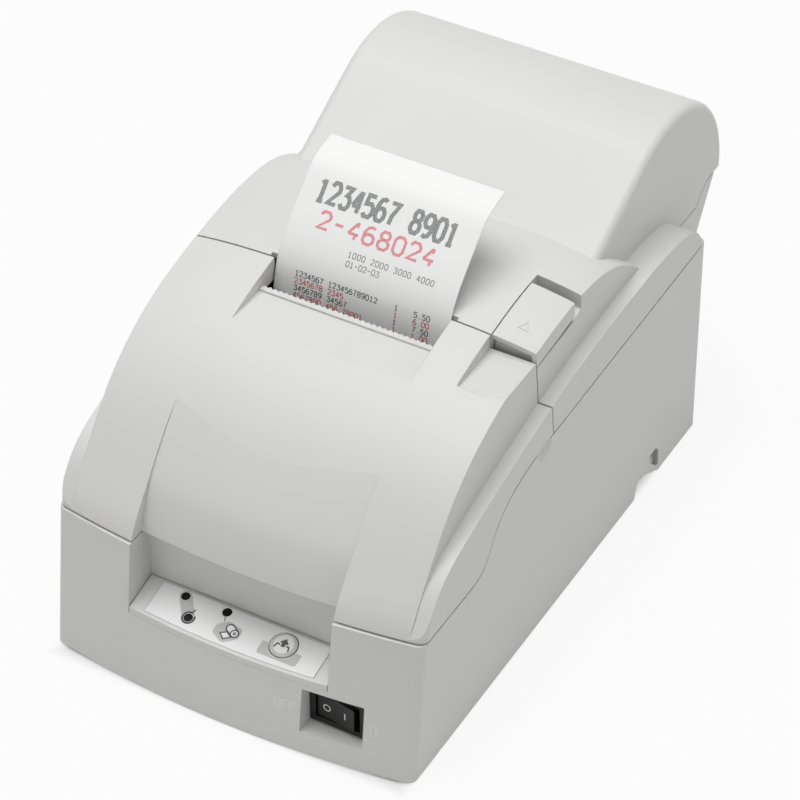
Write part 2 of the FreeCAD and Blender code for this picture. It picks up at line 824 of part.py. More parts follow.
def rear_cover():
    """Rear cover: deck, rails, hump, lever well, hinge lugs and lever brackets."""
    outer = union([deck_solid(0), rail_solid(0), hump_solid(0)]).cut(lever_well(0))
    inner = union([deck_solid(wall), rail_solid(wall), hump_solid(wall)]).cut(lever_well(wall))
    shell = outer.cut(inner).common(seam_region(seam_gap)).common(split_side(False))
    skin = union([deck_solid(wall / 2), hump_solid(wall / 2)])
    pin = rod_x(rear_hinge_pin + running_clearance, -half, half, hinge_y, rear_hinge_z)
    shaft = rod_x(lever_shaft_radius + running_clearance, -half, half, lever_shaft_y, lever_shaft_z)
    reach = 2 * lever_shaft_radius
    extras = []
    for sx in (-1, 1):
        x0 = sx * (rear_hinge_x + hinge_lug_width + hinge_side_gap) - hinge_lug_width / 2
        x1 = x0 + hinge_lug_width
        lug = box(x0, x1, hinge_y - boss_radius, hinge_y + boss_radius, rear_hinge_z, hump_top_z)
        lug = lug.fuse(rod_x(boss_radius, x0, x1, hinge_y, rear_hinge_z))
        extras.append(lug.common(skin).cut(pin))
        x0 = sx * bracket_x - bracket_width / 2
        bracket = box(x0, x0 + bracket_width, lever_shaft_y - reach, lever_shaft_y + reach,
                      lever_shaft_z - reach, hump_top_z)
        extras.append(bracket.common(skin).cut(shaft))
    room = lever_arm_width / 2 + lever_gap
    slot = box(lever_arm_x - room, deck_half - wall, lever_shaft_y - 2 * reach, lever_shaft_y + 2 * reach,
               lever_floor_z - 2 * wall, lever_floor_z + 1)
    paper = box(-paper_half - slot_end_notch, paper_half + slot_end_notch, tear_bar_y, slot_rear_y, 0, far)
    return union([shell] + extras).cut([slot, paper])


def cover_lever():
    """Lever flush with the deck, its side skirt tapering to the rear, with the arm down to its shaft."""
    front = split_y - 10
    keep = [(front, lever_base_z), (split_y, lever_base_z), (lever_rear_y, lever_base_z + lever_taper)]
    keep += [(lever_rear_y, hump_top_z), (front, hump_top_z)]
    cap = deck_solid(0).common(slab(keep, lever_x0, deck_half)).common(split_side(False))
    under_lip = box(0, half, front, split_y + lever_undercut, 0, hump_top_z)
    cap = cap.cut(deck_solid(lever_lip).common(under_lip))
    inside = box(lever_x0 + lever_wall, deck_half - lever_wall, split_y + lever_undercut + lever_wall,
                 lever_rear_y - lever_wall, 0, hump_top_z)
    cap = cap.cut(deck_solid(lever_wall).common(inside))
    x0 = lever_arm_x - lever_arm_width / 2
    x1 = x0 + lever_arm_width
    thick = lever_shaft_radius + 0.5
    arm = box(x0, x1, lever_shaft_y - thick, lever_shaft_y + thick, lever_shaft_z, hump_top_z)
    arm = arm.common(deck_solid(lever_wall / 2))
    boss = rod_x(lever_shaft_radius + 2.0, x0, x1, lever_shaft_y, lever_shaft_z)
    bore = rod_x(lever_shaft_radius + running_clearance, x0 - 1, x1 + 1, lever_shaft_y, lever_shaft_z)
    return union([cap, arm, boss]).cut(bore)


def latch_shaft():
    """Shaft across the cover with a hook at each side."""
    end = lever_arm_x + lever_arm_width / 2 + 0.2
    pieces = [rod_x(lever_shaft_radius, -hook_x - hook_width, end, lever_shaft_y, lever_shaft_z)]
    front = lever_shaft_y - hook_depth / 2
    rear = lever_shaft_y + hook_depth / 2
    low = lever_shaft_z - hook_length
    points = [(front, lever_shaft_z + 3), (rear, lever_shaft_z + 3), (rear, low + hook_nose)]
    points += [(rear + hook_nose / 2, low + hook_nose), (rear, low), (front, low)]
    for sx in (-1, 1):
        x0 = sx * hook_x - hook_width / 2
        pieces.append(slab(points, x0, x0 + hook_width))
    return union(pieces)


save(rear_cover(), "rear_cover")
save(cover_lever(), "cover_lever")
save(latch_shaft(), "latch_shaft")


def rear_panel():
    """Leaning panel behind the spool, with the hinge ears at its top."""
    top = hump_lip_z - rear_panel_side_gap
    low = hump_side_bottom_z - rear_panel_side_gap
    rear_panel_top_y = hump_rear_y - rear_panel_inset
    points = [(rear_y, panel_foot_z), (rear_panel_top_y, top), (skirt_end_y + lip_rise, top)]
    points += [(skirt_end_y, low), (rear_y, low)]
    body = slab(points, -hump_half, hump_half)
    hollow = [(rear_y - 1, panel_foot_z + 1.5 * wall), (rear_panel_top_y - 1.4 * wall, top + 5)]
    hollow.append((rear_y - 1, top + 5))
    body = body.cut(slab(hollow, -hump_half + wall, hump_half - wall))
    ears = []
    for sx in (-1, 1):
        x0 = sx * rear_hinge_x - hinge_lug_width / 2
        x1 = x0 + hinge_lug_width
        ears.append(rod_x(boss_radius, x0, x1, hinge_y, rear_hinge_z))
        ears.append(box(x0, x1, hinge_y - boss_radius, rear_panel_top_y, top - 5, rear_hinge_z))
    ears = [e.common(box(-half, half, 0, hinge_y + boss_radius, 0, far)) for e in ears]
    bore = rod_x(rear_hinge_pin + running_clearance, -half, half, hinge_y, rear_hinge_z)
    return union([body] + ears).cut(bore)


def rear_hinge_pins():
    """Pins through the panel's ears and the cover's lugs."""
    pins = []
    for sx in (-1, 1):
        inner = sx * (rear_hinge_x - hinge_lug_width / 2)
        outer = sx * (rear_hinge_x + 1.5 * hinge_lug_width + hinge_side_gap)
        pins.append(rod_x(rear_hinge_pin, min(inner, outer), max(inner, outer), hinge_y, rear_hinge_z))
    return Part.makeCompound(pins)


save(rear_panel(), "rear_panel")
save(rear_hinge_pins(), "rear_hinge_pins")


gear_x = frame_half + 1.0
pinch_y = roller_y - roller_radius - pinch_radius - paper_gap
idler_reach = (roller_teeth + idler_teeth) * gear_module / 2 + mesh_spread
pinion_reach = (pinion_teeth + idler_teeth) * gear_module / 2 + mesh_spread


def idler_centre():
    """Where the idler meets both the roller gear and the motor pinion."""
    dy = feed_motor_y - roller_y
    dz = feed_motor_z - roller_z
    span = math.hypot(dy, dz)
    along = (idler_reach ** 2 - pinion_reach ** 2 + span ** 2) / (2 * span)
    aside = math.sqrt(idler_reach ** 2 - along ** 2)
    y = roller_y + (along * dy - aside * dz) / span
    z = roller_z + (along * dz + aside * dy) / span
    return y, z


idler_y, idler_z = idler_centre()
to_roller = math.atan2(roller_z - idler_z, roller_y - idler_y)
to_pinion = math.atan2(feed_motor_z - idler_z, feed_motor_y - idler_y)


def gear(teeth, x0, y, z, phase):
    """Spur gear about X with a tooth at the angle phase."""
    pitch = teeth * gear_module / 2
    base = pitch * math.cos(math.radians(20))
    flat = math.tan(math.radians(20)) - math.radians(20)
    half_tooth = (math.pi * gear_module - gear_backlash) / (4 * pitch)
    root = pitch - gear_dedendum * gear_module
    tip = pitch + gear_addendum * gear_module
    low = max(base, root) + 0.02
    radii = [low, (low + tip) / 2, tip]
    angles = []
    for r in radii:
        roll = math.acos(base / r)
        angles.append(half_tooth + flat - math.tan(roll) + roll)
    left = [(root, angles[0] + 0.02)] + list(zip(radii, angles))
    points = []
    for k in range(teeth):
        middle = phase + k * 2 * math.pi / teeth
        points += [(r, middle - a) for r, a in left]
        points += [(r, middle + a) for r, a in reversed(left)]
    places = [(y + r * math.cos(a), z + r * math.sin(a)) for r, a in points]
    return slab(places, x0, x0 + gear_width)


def side_plate(x0):
    """One upright plate of the mechanism frame."""
    slope_z = frame_base_z + 36
    points = [(frame_front_y, frame_base_z), (frame_rear_y, frame_base_z), (frame_rear_y, frame_top_z - 4)]
    points += [(frame_rear_y - 20, frame_top_z), (cutter_front_y - 2, frame_top_z), (frame_front_y, slope_z)]
    return slab(points, x0, x0 + sheet)


latch_y = lever_shaft_y + hook_depth / 2 + hook_nose / 2 + latch_pin_gap + latch_pin_radius
latch_z = lever_shaft_z - hook_length + hook_nose + latch_pin_radius + 0.5


def mechanism_frame():
    """Folded frame: base, two side plates, cassette ledges and latch pins."""
    inside = frame_half - sheet
    base = box(-frame_half, frame_half, frame_front_y, frame_rear_y, frame_base_z, frame_base_z + sheet)
    pieces = [base, side_plate(-frame_half), side_plate(inside)]
    for sx in (-1, 1):
        inner = sx * (cassette_half - 3)
        outer = sx * (inside + sheet / 2)
        ledge = side_box(inner, outer, cassette_body_rear_y + 4, cassette_rear_y - 9,
                         cassette_z - sheet, cassette_z)
        inner = sx * (hook_x - hook_width)
        pin = rod_x(latch_pin_radius, min(inner, outer), max(inner, outer), latch_y, latch_z)
        pieces += [ledge, pin]
    slip = running_clearance
    holes = [rod_x(shaft_radius + slip, -half, half, shaft_y, shaft_z)]
    holes.append(rod_x(roller_shaft_radius + slip, -half, half, roller_y, roller_z))
    holes.append(rod_x(pinch_shaft_radius + slip, -half, half, pinch_y, roller_z))
    holes.append(rod_x(pinch_shaft_radius + slip, 0, half, idler_y, idler_z))
    holes.append(rod_x(pinch_shaft_radius + slip, 0, half, feed_motor_y, feed_motor_z))
    holes += [rod_z(pinch_shaft_radius + slip, 0, frame_top_z, sx * pulley_x, pulley_y) for sx in (-1, 1)]
    return union(pieces).cut(holes)


save(mechanism_frame(), "mechanism_frame")
save(rod_x(shaft_radius, -frame_half - 2, frame_half + 2, shaft_y, shaft_z), "guide_shaft")


carriage_front_y = shaft_y - 12
carriage_rear_y = shaft_y + 10
carriage_top_z = head_z - head_radius + 3


def carriage():
    """Carriage block on the guide shaft, cradling the head, with its belt lug."""
    side = carriage_width / 2
    block = box(-side, side, carriage_front_y, carriage_rear_y, shaft_z - 8, carriage_top_z)
    belt_front_y = pulley_y - pulley_radius - belt_gap - belt_thickness
    lug = box(-side / 2, side / 2, belt_front_y - 0.5, carriage_front_y + 4,
              pulley_z + belt_width / 2 + 0.5, shaft_z - 7)
    cradle = rod_y(head_radius, carriage_front_y - 1, carriage_rear_y + 1, 0, head_z)
    bore = rod_x(shaft_radius + running_clearance, -half, half, shaft_y, shaft_z)
    return union([block, lug]).cut([cradle, bore])


def print_head():
    """Round finned head with its nose towards the platen."""
    front = cassette_body_rear_y + 1.5
    rear = cassette_rear_y - 5
    body = rod_y(head_radius, front, rear, 0, head_z)
    fins = []
    count = 4
    for k in range(count):
        y = front + 3 + 4 * k
        ring = rod_y(head_radius + 1, y, y + 1.6, 0, head_z)
        fins.append(ring.cut(rod_y(head_radius - 1.5, y - 1, y + 3, 0, head_z)))
    fins = [f.common(box(-half, half, -far, carriage_front_y - 0.5, 0, far)) for f in fins]
    nose = box(-6, 6, rear - 1, cassette_rear_y - 0.8, head_z - 6, head_z + 6)
    return union([body.cut(fins), nose])


save(carriage(), "carriage")
save(print_head(), "print_head")


def pulley(x):
    """Flat belt pulley with its shaft down through the frame."""
    low = pulley_z - belt_width / 2
    disc = rod_z(pulley_radius, low, low + belt_width, x, pulley_y)
    top = rod_z(pulley_radius / 2, low + belt_width - 1, low + belt_width + 2, x, pulley_y)
    stem = rod_z(pinch_shaft_radius, frame_base_z - 6, low + 1, x, pulley_y)
    return union([disc, top, stem])


def stadium(radius, z0, z1):
    """Outline round both pulleys."""
    y0 = pulley_y - radius
    middle = box(-pulley_x, pulley_x, y0, pulley_y + radius, z0, z1)
    ends = [rod_z(radius, z0, z1, sx * pulley_x, pulley_y) for sx in (-1, 1)]
    return union([middle] + ends)


def carriage_belt():
    """Flat belt round the two pulleys."""
    low = pulley_z - belt_width / 2
    inner = pulley_radius + belt_gap
    top = low + belt_width
    return stadium(inner + belt_thickness, low, top).cut(stadium(inner, low - 1, top + 1))


def carriage_motor():
    """Motor under the frame's base, with a bore for the pulley's shaft."""
    body = rod_z(motor_radius, frame_base_z - motor_length, frame_base_z, -pulley_x, pulley_y)
    bore = pinch_shaft_radius + running_clearance
    return body.cut(rod_z(bore, frame_base_z - 8, frame_base_z + 1, -pulley_x, pulley_y))


save(pulley(-pulley_x), "drive_pulley")
save(pulley(pulley_x), "idler_pulley")
save(carriage_belt(), "carriage_belt")
save(carriage_motor(), "carriage_motor")


inside_plate = frame_half - sheet
platen = box(-inside_plate, inside_plate, platen_y, platen_y + platen_thickness,
             platen_z, platen_z + platen_height)
save(platen, "platen")

sleeve_half = paper_half - 1
feed_shaft = rod_x(roller_shaft_radius, -frame_half - 2, gear_x + gear_width + 1, roller_y, roller_z)
save(feed_shaft, "feed_shaft")
sleeve = rod_x(roller_radius, -sleeve_half, sleeve_half, roller_y, roller_z)
save(sleeve.cut(rod_x(roller_shaft_radius, -half, half, roller_y, roller_z)), "feed_sleeve")
roller_phase = to_roller + math.pi + math.pi / roller_teeth
feed_gear = gear(roller_teeth, gear_x, roller_y, roller_z, roller_phase)
save(feed_gear.cut(rod_x(roller_shaft_radius, 0, half, roller_y, roller_z)), "feed_gear")

idler_stub = rod_x(pinch_shaft_radius, frame_half - 2 * sheet, gear_x + gear_width + 1, idler_y, idler_z)
save(union([gear(idler_teeth, gear_x, idler_y, idler_z, to_roller), idler_stub]), "idler_gear")

idler_pitch = 2 * math.pi / idler_teeth
past = ((to_pinion - to_roller) % idler_pitch) / idler_pitch
pinion_phase = to_pinion + math.pi + (1 + 2 * past) * math.pi / pinion_teeth
pinion_stub = rod_x(pinch_shaft_radius, inside_plate - 6, gear_x + gear_width + 1, feed_motor_y, feed_motor_z)
pinion = gear(pinion_teeth, gear_x, feed_motor_y, feed_motor_z, pinion_phase)
save(union([pinion, pinion_stub]), "feed_pinion")

pinch = rod_x(pinch_radius, -sleeve_half, sleeve_half, pinch_y, roller_z)
pinch_end = gear_x - 0.5
save(union([pinch, rod_x(pinch_shaft_radius, -pinch_end, pinch_end, pinch_y, roller_z)]), "pinch_roller")

motor = rod_x(feed_motor_radius, inside_plate - feed_motor_length, inside_plate, feed_motor_y, feed_motor_z)
motor_bore = rod_x(pinch_shaft_radius + running_clearance, inside_plate - 8, half, feed_motor_y, feed_motor_z)
save(motor.cut(motor_bore), "feed_motor")


def ribbon_cassette():
    """Cassette body across the front with an arm down each side."""
    top = cassette_z + cassette_height
    pieces = [box(-cassette_half, cassette_half, cassette_front_y, cassette_body_rear_y, cassette_z, top)]
    for sx in (-1, 1):
        inner = sx * (cassette_half - cassette_arm)
        outer = sx * cassette_half
        pieces.append(side_box(inner, outer, cassette_front_y, cassette_rear_y, cassette_z, top))
    body = union(pieces)
    edges = [e for e in body.Edges if abs(e.BoundBox.ZLength - cassette_height) < 0.01]
    body = body.makeFillet(1.5, edges)
    return body.cut(rod_z(pinch_shaft_radius + running_clearance, top - 6, top + 1, knob_x, knob_y))


knob_x = cassette_half - cassette_arm / 2
knob_y = cassette_body_rear_y + 12
knob_z = cassette_z + cassette_height + 0.3
save(ribbon_cassette(), "ribbon_cassette")
ribbon_half = cassette_half - cassette_arm / 2
ribbon = box(-ribbon_half, ribbon_half, cassette_rear_y, cassette_rear_y + ribbon_thickness,
             cassette_z + 1, cassette_z + cassette_height - 1)
save(ribbon, "ribbon")


def ribbon_knob():
    """Winding knob on top of the cassette, with flats for the fingers."""
    disc = rod_z(knob_radius, knob_z, knob_z + knob_height / 2, knob_x, knob_y)
    reach = knob_radius - 1
    grip = box(knob_x - reach, knob_x + reach, knob_y - 1, knob_y + 1, knob_z, knob_z + knob_height)
    return union([disc, grip, rod_z(pinch_shaft_radius, knob_z - 5, knob_z + 1, knob_x, knob_y)])


save(ribbon_knob(), "ribbon_knob")


cutter_top_z = frame_top_z + cutter_plate
cutter = box(-frame_half, frame_half, cutter_front_y, cutter_rear_y, frame_top_z, cutter_top_z)
slot_side = paper_half + 2
paper_way = box(-slot_side, slot_side, cutter_slot_front_y, cutter_slot_rear_y, frame_top_z - 1, far)
save(cutter.cut(paper_way), "cutter_frame")
bar_y = cutter_slot_rear_y + 0.1
fixed_blade = box(-blade_half, blade_half, bar_y, bar_y + blade_bar,
                  cutter_top_z, cutter_top_z + blade_thickness)
save(fixed_blade, "fixed_blade")


def cutter_blade():
    """Moving blade with its V edge, resting in front of the slot."""
    tip = cutter_slot_rear_y - 0.5 - blade_travel
    back = tip - blade_length
    z = cutter_top_z + blade_gap
    corners = [(-blade_half, back), (blade_half, back), (blade_half, tip), (0, tip - 3), (-blade_half, tip)]
    points = [V(x, y, z) for x, y in corners + corners[:1]]
    return Part.Face(Part.makePolygon(points)).extrude(V(0, 0, blade_thickness))


save(cutter_blade(), "cutter_blade")


tray_z = bay_height + wall + tray_radius + wall
roll_z = tray_z - tray_radius + roll_radius + fit_gap


def roll_tray():
    """Trough under the paper roll, with end walls and a foot on the bay's ceiling."""
    outer = rod_x(tray_radius + wall, -tray_half, tray_half, roll_y, tray_z)
    hollow = rod_x(tray_radius, -tray_half + wall, tray_half - wall, roll_y, tray_z)
    trough = outer.cut(hollow).common(box(-half, half, -far, far, 0, tray_top_z))
    foot = box(-tray_half, tray_half, roll_y - 3, roll_y + 3, bay_height + wall, bay_height + 2 * wall)
    return union([trough, foot])


save(roll_tray(), "roll_tray")
roll = rod_x(roll_radius, -roll_width / 2, roll_width / 2, roll_y, roll_z)
save(roll.cut(rod_x(core_radius, -half, half, roll_y, roll_z)), "paper_roll")
core = rod_x(core_radius, -roll_width / 2, roll_width / 2, roll_y, roll_z)
save(core.cut(rod_x(core_radius - core_wall, -half, half, roll_y, roll_z)), "paper_core")


def takeup_spool():
    """Spool core with a flange at its right end and its shaft through both brackets."""
    shaft = rod_x(spool_shaft_radius, -spool_bracket_x - 6, spool_bracket_x + 4, spool_y, spool_z)
    core = rod_x(spool_core_radius, -spool_half, spool_half, spool_y, spool_z)
    flange = rod_x(spool_flange_radius, spool_half, spool_half + 2, spool_y, spool_z)
    slot = box(-spool_half + 2, spool_half - 2, spool_y - 0.6, spool_y + 0.6,
               spool_z + spool_shaft_radius + 1, spool_z + spool_core_radius + 1)
    return union([shaft, core, flange]).cut(slot)


def spool_brackets():
    """Two uprights on the bay's ceiling, bored for the spool's shaft."""
    plates = []
    low = bay_height + wall
    y0 = spool_y - spool_bracket_half
    y1 = spool_y + spool_bracket_half
    bore = rod_x(spool_shaft_radius + running_clearance, -half, half, spool_y, spool_z)
    for sx in (-1, 1):
        x0 = sx * (spool_bracket_x + 1) - 1
        plate = box(x0, x0 + 2, y0, y1, low, spool_z)
        plate = plate.fuse(rod_x(spool_bracket_half, x0, x0 + 2, spool_y, spool_z))
        foot = box(x0 - 4, x0 + 6, y0, y1, low, low + 2)
        plates.append(union([plate, foot]).cut(bore))
    return Part.makeCompound(plates)


def takeup_motor():
    """Flat motor on the outside of the left bracket."""
    right = -spool_bracket_x - 2
    body = rod_x(takeup_motor_radius, right - takeup_motor_length, right, spool_y, spool_z)
    return body.cut(rod_x(spool_shaft_radius + running_clearance, right - 6, 0, spool_y, spool_z))


save(takeup_spool(), "takeup_spool")
save(spool_brackets(), "spool_brackets")
save(takeup_motor(), "takeup_motor")


def receipt():
    """Printed strip standing out of the slot and curling back."""
    path = receipt_path
    under = inward(path, receipt_thickness)
    x = -receipt_width / 2
    upper = [V(x, y, z) for y, z in path]
    lower = [V(x, y, z) for y, z in reversed(under)]
    edges = [spline_edge(upper), Part.makeLine(upper[-1], lower[0])]
    edges += [spline_edge(lower), Part.makeLine(lower[-1], upper[0])]
    return Part.Face(Part.Wire(edges)).extrude(V(receipt_width, 0, 0))


save(receipt(), "receipt")


board_top_z = board_z + board_thickness
board = box(-board_half, board_half, board_front_y, board_rear_y, board_z, board_top_z)


def on_board(x0, x1, share0, share1, rise):
    """Block on the board between two shares of its length."""
    length = board_rear_y - board_front_y
    y0 = board_front_y + share0 * length
    y1 = board_front_y + share1 * length
    return box(x0, x1, y0, y1, board_z, board_top_z + rise)


capacitor_y = board_rear_y - capacitor_inset
capacitor_rows = (capacitor_y, capacitor_y - capacitor_pitch)
chips = [on_board(-20, 0, 0.26, 0.51, 3), on_board(10, 26, 0.36, 0.56, 2), on_board(8, 30, 0.72, 0.87, 8)]
chips += [rod_z(capacitor_radius, board_z, board_top_z + capacitor_height, -30, y) for y in capacitor_rows]
save(union([board] + chips), "main_board")

plate_rear_y = bay_front_y + sheet
connector_plate = box(-connector_plate_half, connector_plate_half, bay_front_y, plate_rear_y,
                      floor_top_z, bay_height - 2)
save(connector_plate, "connector_plate")

socket_end_y = plate_rear_y + connector_depth


def socket(x, width):
    """Connector body on the plate, with an open pocket to the rear."""
    z0 = connector_z - connector_height / 2
    z1 = connector_z + connector_height / 2
    side = width / 2
    lip = connector_lip
    body = box(x - side, x + side, plate_rear_y, socket_end_y, z0, z1)
    return body.cut(box(x - side + lip, x + side - lip, plate_rear_y + lip, far, z0 + lip, z1 - lip))


def power_inlet():
    """Round inlet with its centre pin."""
    side = inlet_width / 2
    body = box(inlet_x - side, inlet_x + side, plate_rear_y, socket_end_y,
               connector_z - side, connector_z + side)
    body = body.cut(rod_y(inlet_bore, plate_rear_y + connector_lip, far, inlet_x, connector_z))
    pin = rod_y(inlet_bore / 4, plate_rear_y + 1, socket_end_y - connector_lip, inlet_x, connector_z)
    return union([body, pin])


save(power_inlet(), "power_inlet")
save(socket(jack_x, jack_width), "drawer_jack")
save(socket(interface_x, interface_width), "interface_connector")

service_z = floor_bottom_z - service_plate
service = box(-service_half_x, service_half_x, service_y - service_half_y, service_y + service_half_y,
              service_z, floor_bottom_z)
save(service, "service_cover")


def screws(places, z0, z1):
    """Flat screw heads with a cross slot."""
    heads = []
    for x, y in places:
        head = rod_z(screw_head_radius, z0, z1, x, y)
        slots = [box(x - u, x + u, y - v, y + v, z1 - 0.6, z1 + 1) for u, v in ((2, 0.4), (0.4, 2))]
        heads.append(head.cut(slots))
    return Part.makeCompound(heads)


post_places = [(sx * post_x, y) for sx in (-1, 1) for y in (post_front_y, post_rear_y)]
frame_top = frame_base_z + sheet
save(screws(post_places, frame_top, frame_top + screw_head_height), "frame_screws")
board_places = [(sx * (board_half - 6), y) for sx in (-1, 1) for y in (board_front_y + 6, board_rear_y - 6)]
save(screws(board_places, board_top_z, board_top_z + screw_head_height), "board_screws")
plate_places = [(sx * (service_half_x - 5), service_y) for sx in (-1, 1)]
under = screws(plate_places, 0, 0.8)
under.rotate(V(0, 0, 0), V(1, 0, 0), 180)
under.translate(V(0, 2 * service_y, service_z))
save(under, "service_screws")
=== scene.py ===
import bisect
import json
import math

import bpy
from mathutils import Matrix, Vector
from mathutils.bvhtree import BVHTree


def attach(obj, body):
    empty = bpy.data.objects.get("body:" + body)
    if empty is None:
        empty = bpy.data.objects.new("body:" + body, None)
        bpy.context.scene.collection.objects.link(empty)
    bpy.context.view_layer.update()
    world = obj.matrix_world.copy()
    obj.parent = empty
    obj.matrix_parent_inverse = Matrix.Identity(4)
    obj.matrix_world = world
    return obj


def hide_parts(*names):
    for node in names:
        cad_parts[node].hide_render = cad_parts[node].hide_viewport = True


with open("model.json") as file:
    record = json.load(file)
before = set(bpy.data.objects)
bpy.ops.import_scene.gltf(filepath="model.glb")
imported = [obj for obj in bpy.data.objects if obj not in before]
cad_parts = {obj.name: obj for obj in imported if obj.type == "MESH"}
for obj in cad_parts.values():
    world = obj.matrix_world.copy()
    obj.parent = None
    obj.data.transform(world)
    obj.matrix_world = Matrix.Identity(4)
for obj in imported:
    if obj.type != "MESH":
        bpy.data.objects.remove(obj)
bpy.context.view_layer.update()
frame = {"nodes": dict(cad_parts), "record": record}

MM = 0.001
nodes = frame["nodes"]

# Camera: angles in degrees, lengths in millimetres, picture sizes in pixels of an 800 pixel frame
PICTURE = 800
CAMERA_AZIMUTH = 29.92
CAMERA_ELEVATION = 40.60
CAMERA_ROLL = -0.41
CAMERA_FOCAL = 3698.0
CAMERA_DISTANCE = 1458.0
CAMERA_AIM = (0.0, -12.7, 60.0)
CAMERA_SIDE = 1.1
CAMERA_RISE = -0.8
OPTICAL_AXIS = (391.8, 413.6)
SENSOR = 36.0
CLIP_START = 0.05


def place_camera():
    """Camera at the photograph's angle."""
    a = math.radians(CAMERA_AZIMUTH)
    e = math.radians(CAMERA_ELEVATION)
    roll = math.radians(CAMERA_ROLL)
    back = Vector((math.sin(a) * math.cos(e), -math.cos(a) * math.cos(e), math.sin(e)))
    right = Vector((math.cos(a), math.sin(a), 0))
    up = back.cross(right)
    across = right * math.cos(roll) + up * math.sin(roll)
    above = up * math.cos(roll) - right * math.sin(roll)
    where = Vector(CAMERA_AIM) + across * CAMERA_SIDE + above * CAMERA_RISE + back * CAMERA_DISTANCE
    data = bpy.data.cameras.new("camera")
    data.sensor_width = SENSOR
    data.lens = CAMERA_FOCAL / PICTURE * SENSOR
    data.shift_x = (PICTURE / 2 - OPTICAL_AXIS[0]) / PICTURE
    data.shift_y = (OPTICAL_AXIS[1] - PICTURE / 2) / PICTURE
    data.clip_start = CLIP_START
    camera = bpy.data.objects.new("camera", data)
    turn = Matrix((across, above, back)).transposed().to_4x4()
    camera.matrix_world = Matrix.Translation(where * MM) @ turn
    bpy.context.collection.objects.link(camera)
    bpy.context.scene.camera = camera


LAMP_AIM = (0.0, 0.0, 0.06)


def lamp(name, place, size, power):
    """Soft square lamp aimed at the middle of the object."""
    data = bpy.data.lights.new(name, "AREA")
    data.size = size
    data.energy = power
    light = bpy.data.objects.new(name, data)
    light.location = place
    aim = Vector(LAMP_AIM) - light.location
    light.rotation_euler = aim.to_track_quat("-Z", "Y").to_euler()
    bpy.context.collection.objects.link(light)


def new_material(name):
    """New material, with its node tree and its shader."""
    material = bpy.data.materials.new(name)
    material.use_nodes = True
    tree = material.node_tree
    return material, tree, tree.nodes["Principled BSDF"]


def noise(tree, scale, detail):
    """Noise texture of one scale and detail."""
    texture = tree.nodes.new("ShaderNodeTexNoise")
    texture.inputs["Scale"].default_value = scale
    texture.inputs["Detail"].default_value = detail
    return texture


# Moulded surfaces: rounding of edges in millimetres, grain, and unevenness of colour and gloss
EDGE_RADIUS = 0.5
EDGE_SAMPLES = 6
GRAIN_DETAIL = 3.0
GRAIN_HEIGHT = 0.0001
BLOTCH_SCALE = 18.0
BLOTCH_DETAIL = 4.0
GLOSS_SPREAD = 0.06


def moulded(name, colour, roughness, grain, depth, blotch=0.03, sheen=0.5):
    """Moulded plastic: fine grain in the bump, softened edges, slightly uneven colour and gloss."""
    material, tree, shader = new_material(name)
    coords = tree.nodes.new("ShaderNodeTexCoord")
    fine = noise(tree, grain, GRAIN_DETAIL)
    edge = tree.nodes.new("ShaderNodeBevel")
    edge.samples = EDGE_SAMPLES
    edge.inputs["Radius"].default_value = EDGE_RADIUS * MM
    bump = tree.nodes.new("ShaderNodeBump")
    bump.inputs["Strength"].default_value = depth
    bump.inputs["Distance"].default_value = GRAIN_HEIGHT
    broad = noise(tree, BLOTCH_SCALE, BLOTCH_DETAIL)
    mix = tree.nodes.new("ShaderNodeMix")
    mix.data_type = "RGBA"
    dark = [c * (1 - blotch) for c in colour]
    light = [min(c * (1 + blotch), 1.0) for c in colour]
    mix.inputs["A"].default_value = (*dark, 1)
    mix.inputs["B"].default_value = (*light, 1)
    shader.inputs["Specular IOR Level"].default_value = sheen
    gloss = tree.nodes.new("ShaderNodeMapRange")
    gloss.inputs["To Min"].default_value = roughness - GLOSS_SPREAD
    gloss.inputs["To Max"].default_value = roughness + GLOSS_SPREAD
    link = tree.links.new
    link(coords.outputs["Object"], fine.inputs["Vector"])
    link(coords.outputs["Object"], broad.inputs["Vector"])
    link(edge.outputs["Normal"], bump.inputs["Normal"])
    link(fine.outputs["Fac"], bump.inputs["Height"])
    link(bump.outputs["Normal"], shader.inputs["Normal"])
    link(broad.outputs["Fac"], mix.inputs["Factor"])
    link(mix.outputs["Result"], shader.inputs["Base Color"])
    link(broad.outputs["Fac"], gloss.inputs["Value"])
    link(gloss.outputs["Result"], shader.inputs["Roughness"])
    return material


# Drawn metal: its lines, and how far they lower and raise the roughness
BRUSH_SCALE = 60.0
BRUSH_DETAIL = 4.0
BRUSH_DEPTH = 0.2
BRUSH_HEIGHT = 0.00005
BRUSH_SMOOTHER = 0.1
BRUSH_ROUGHER = 0.12


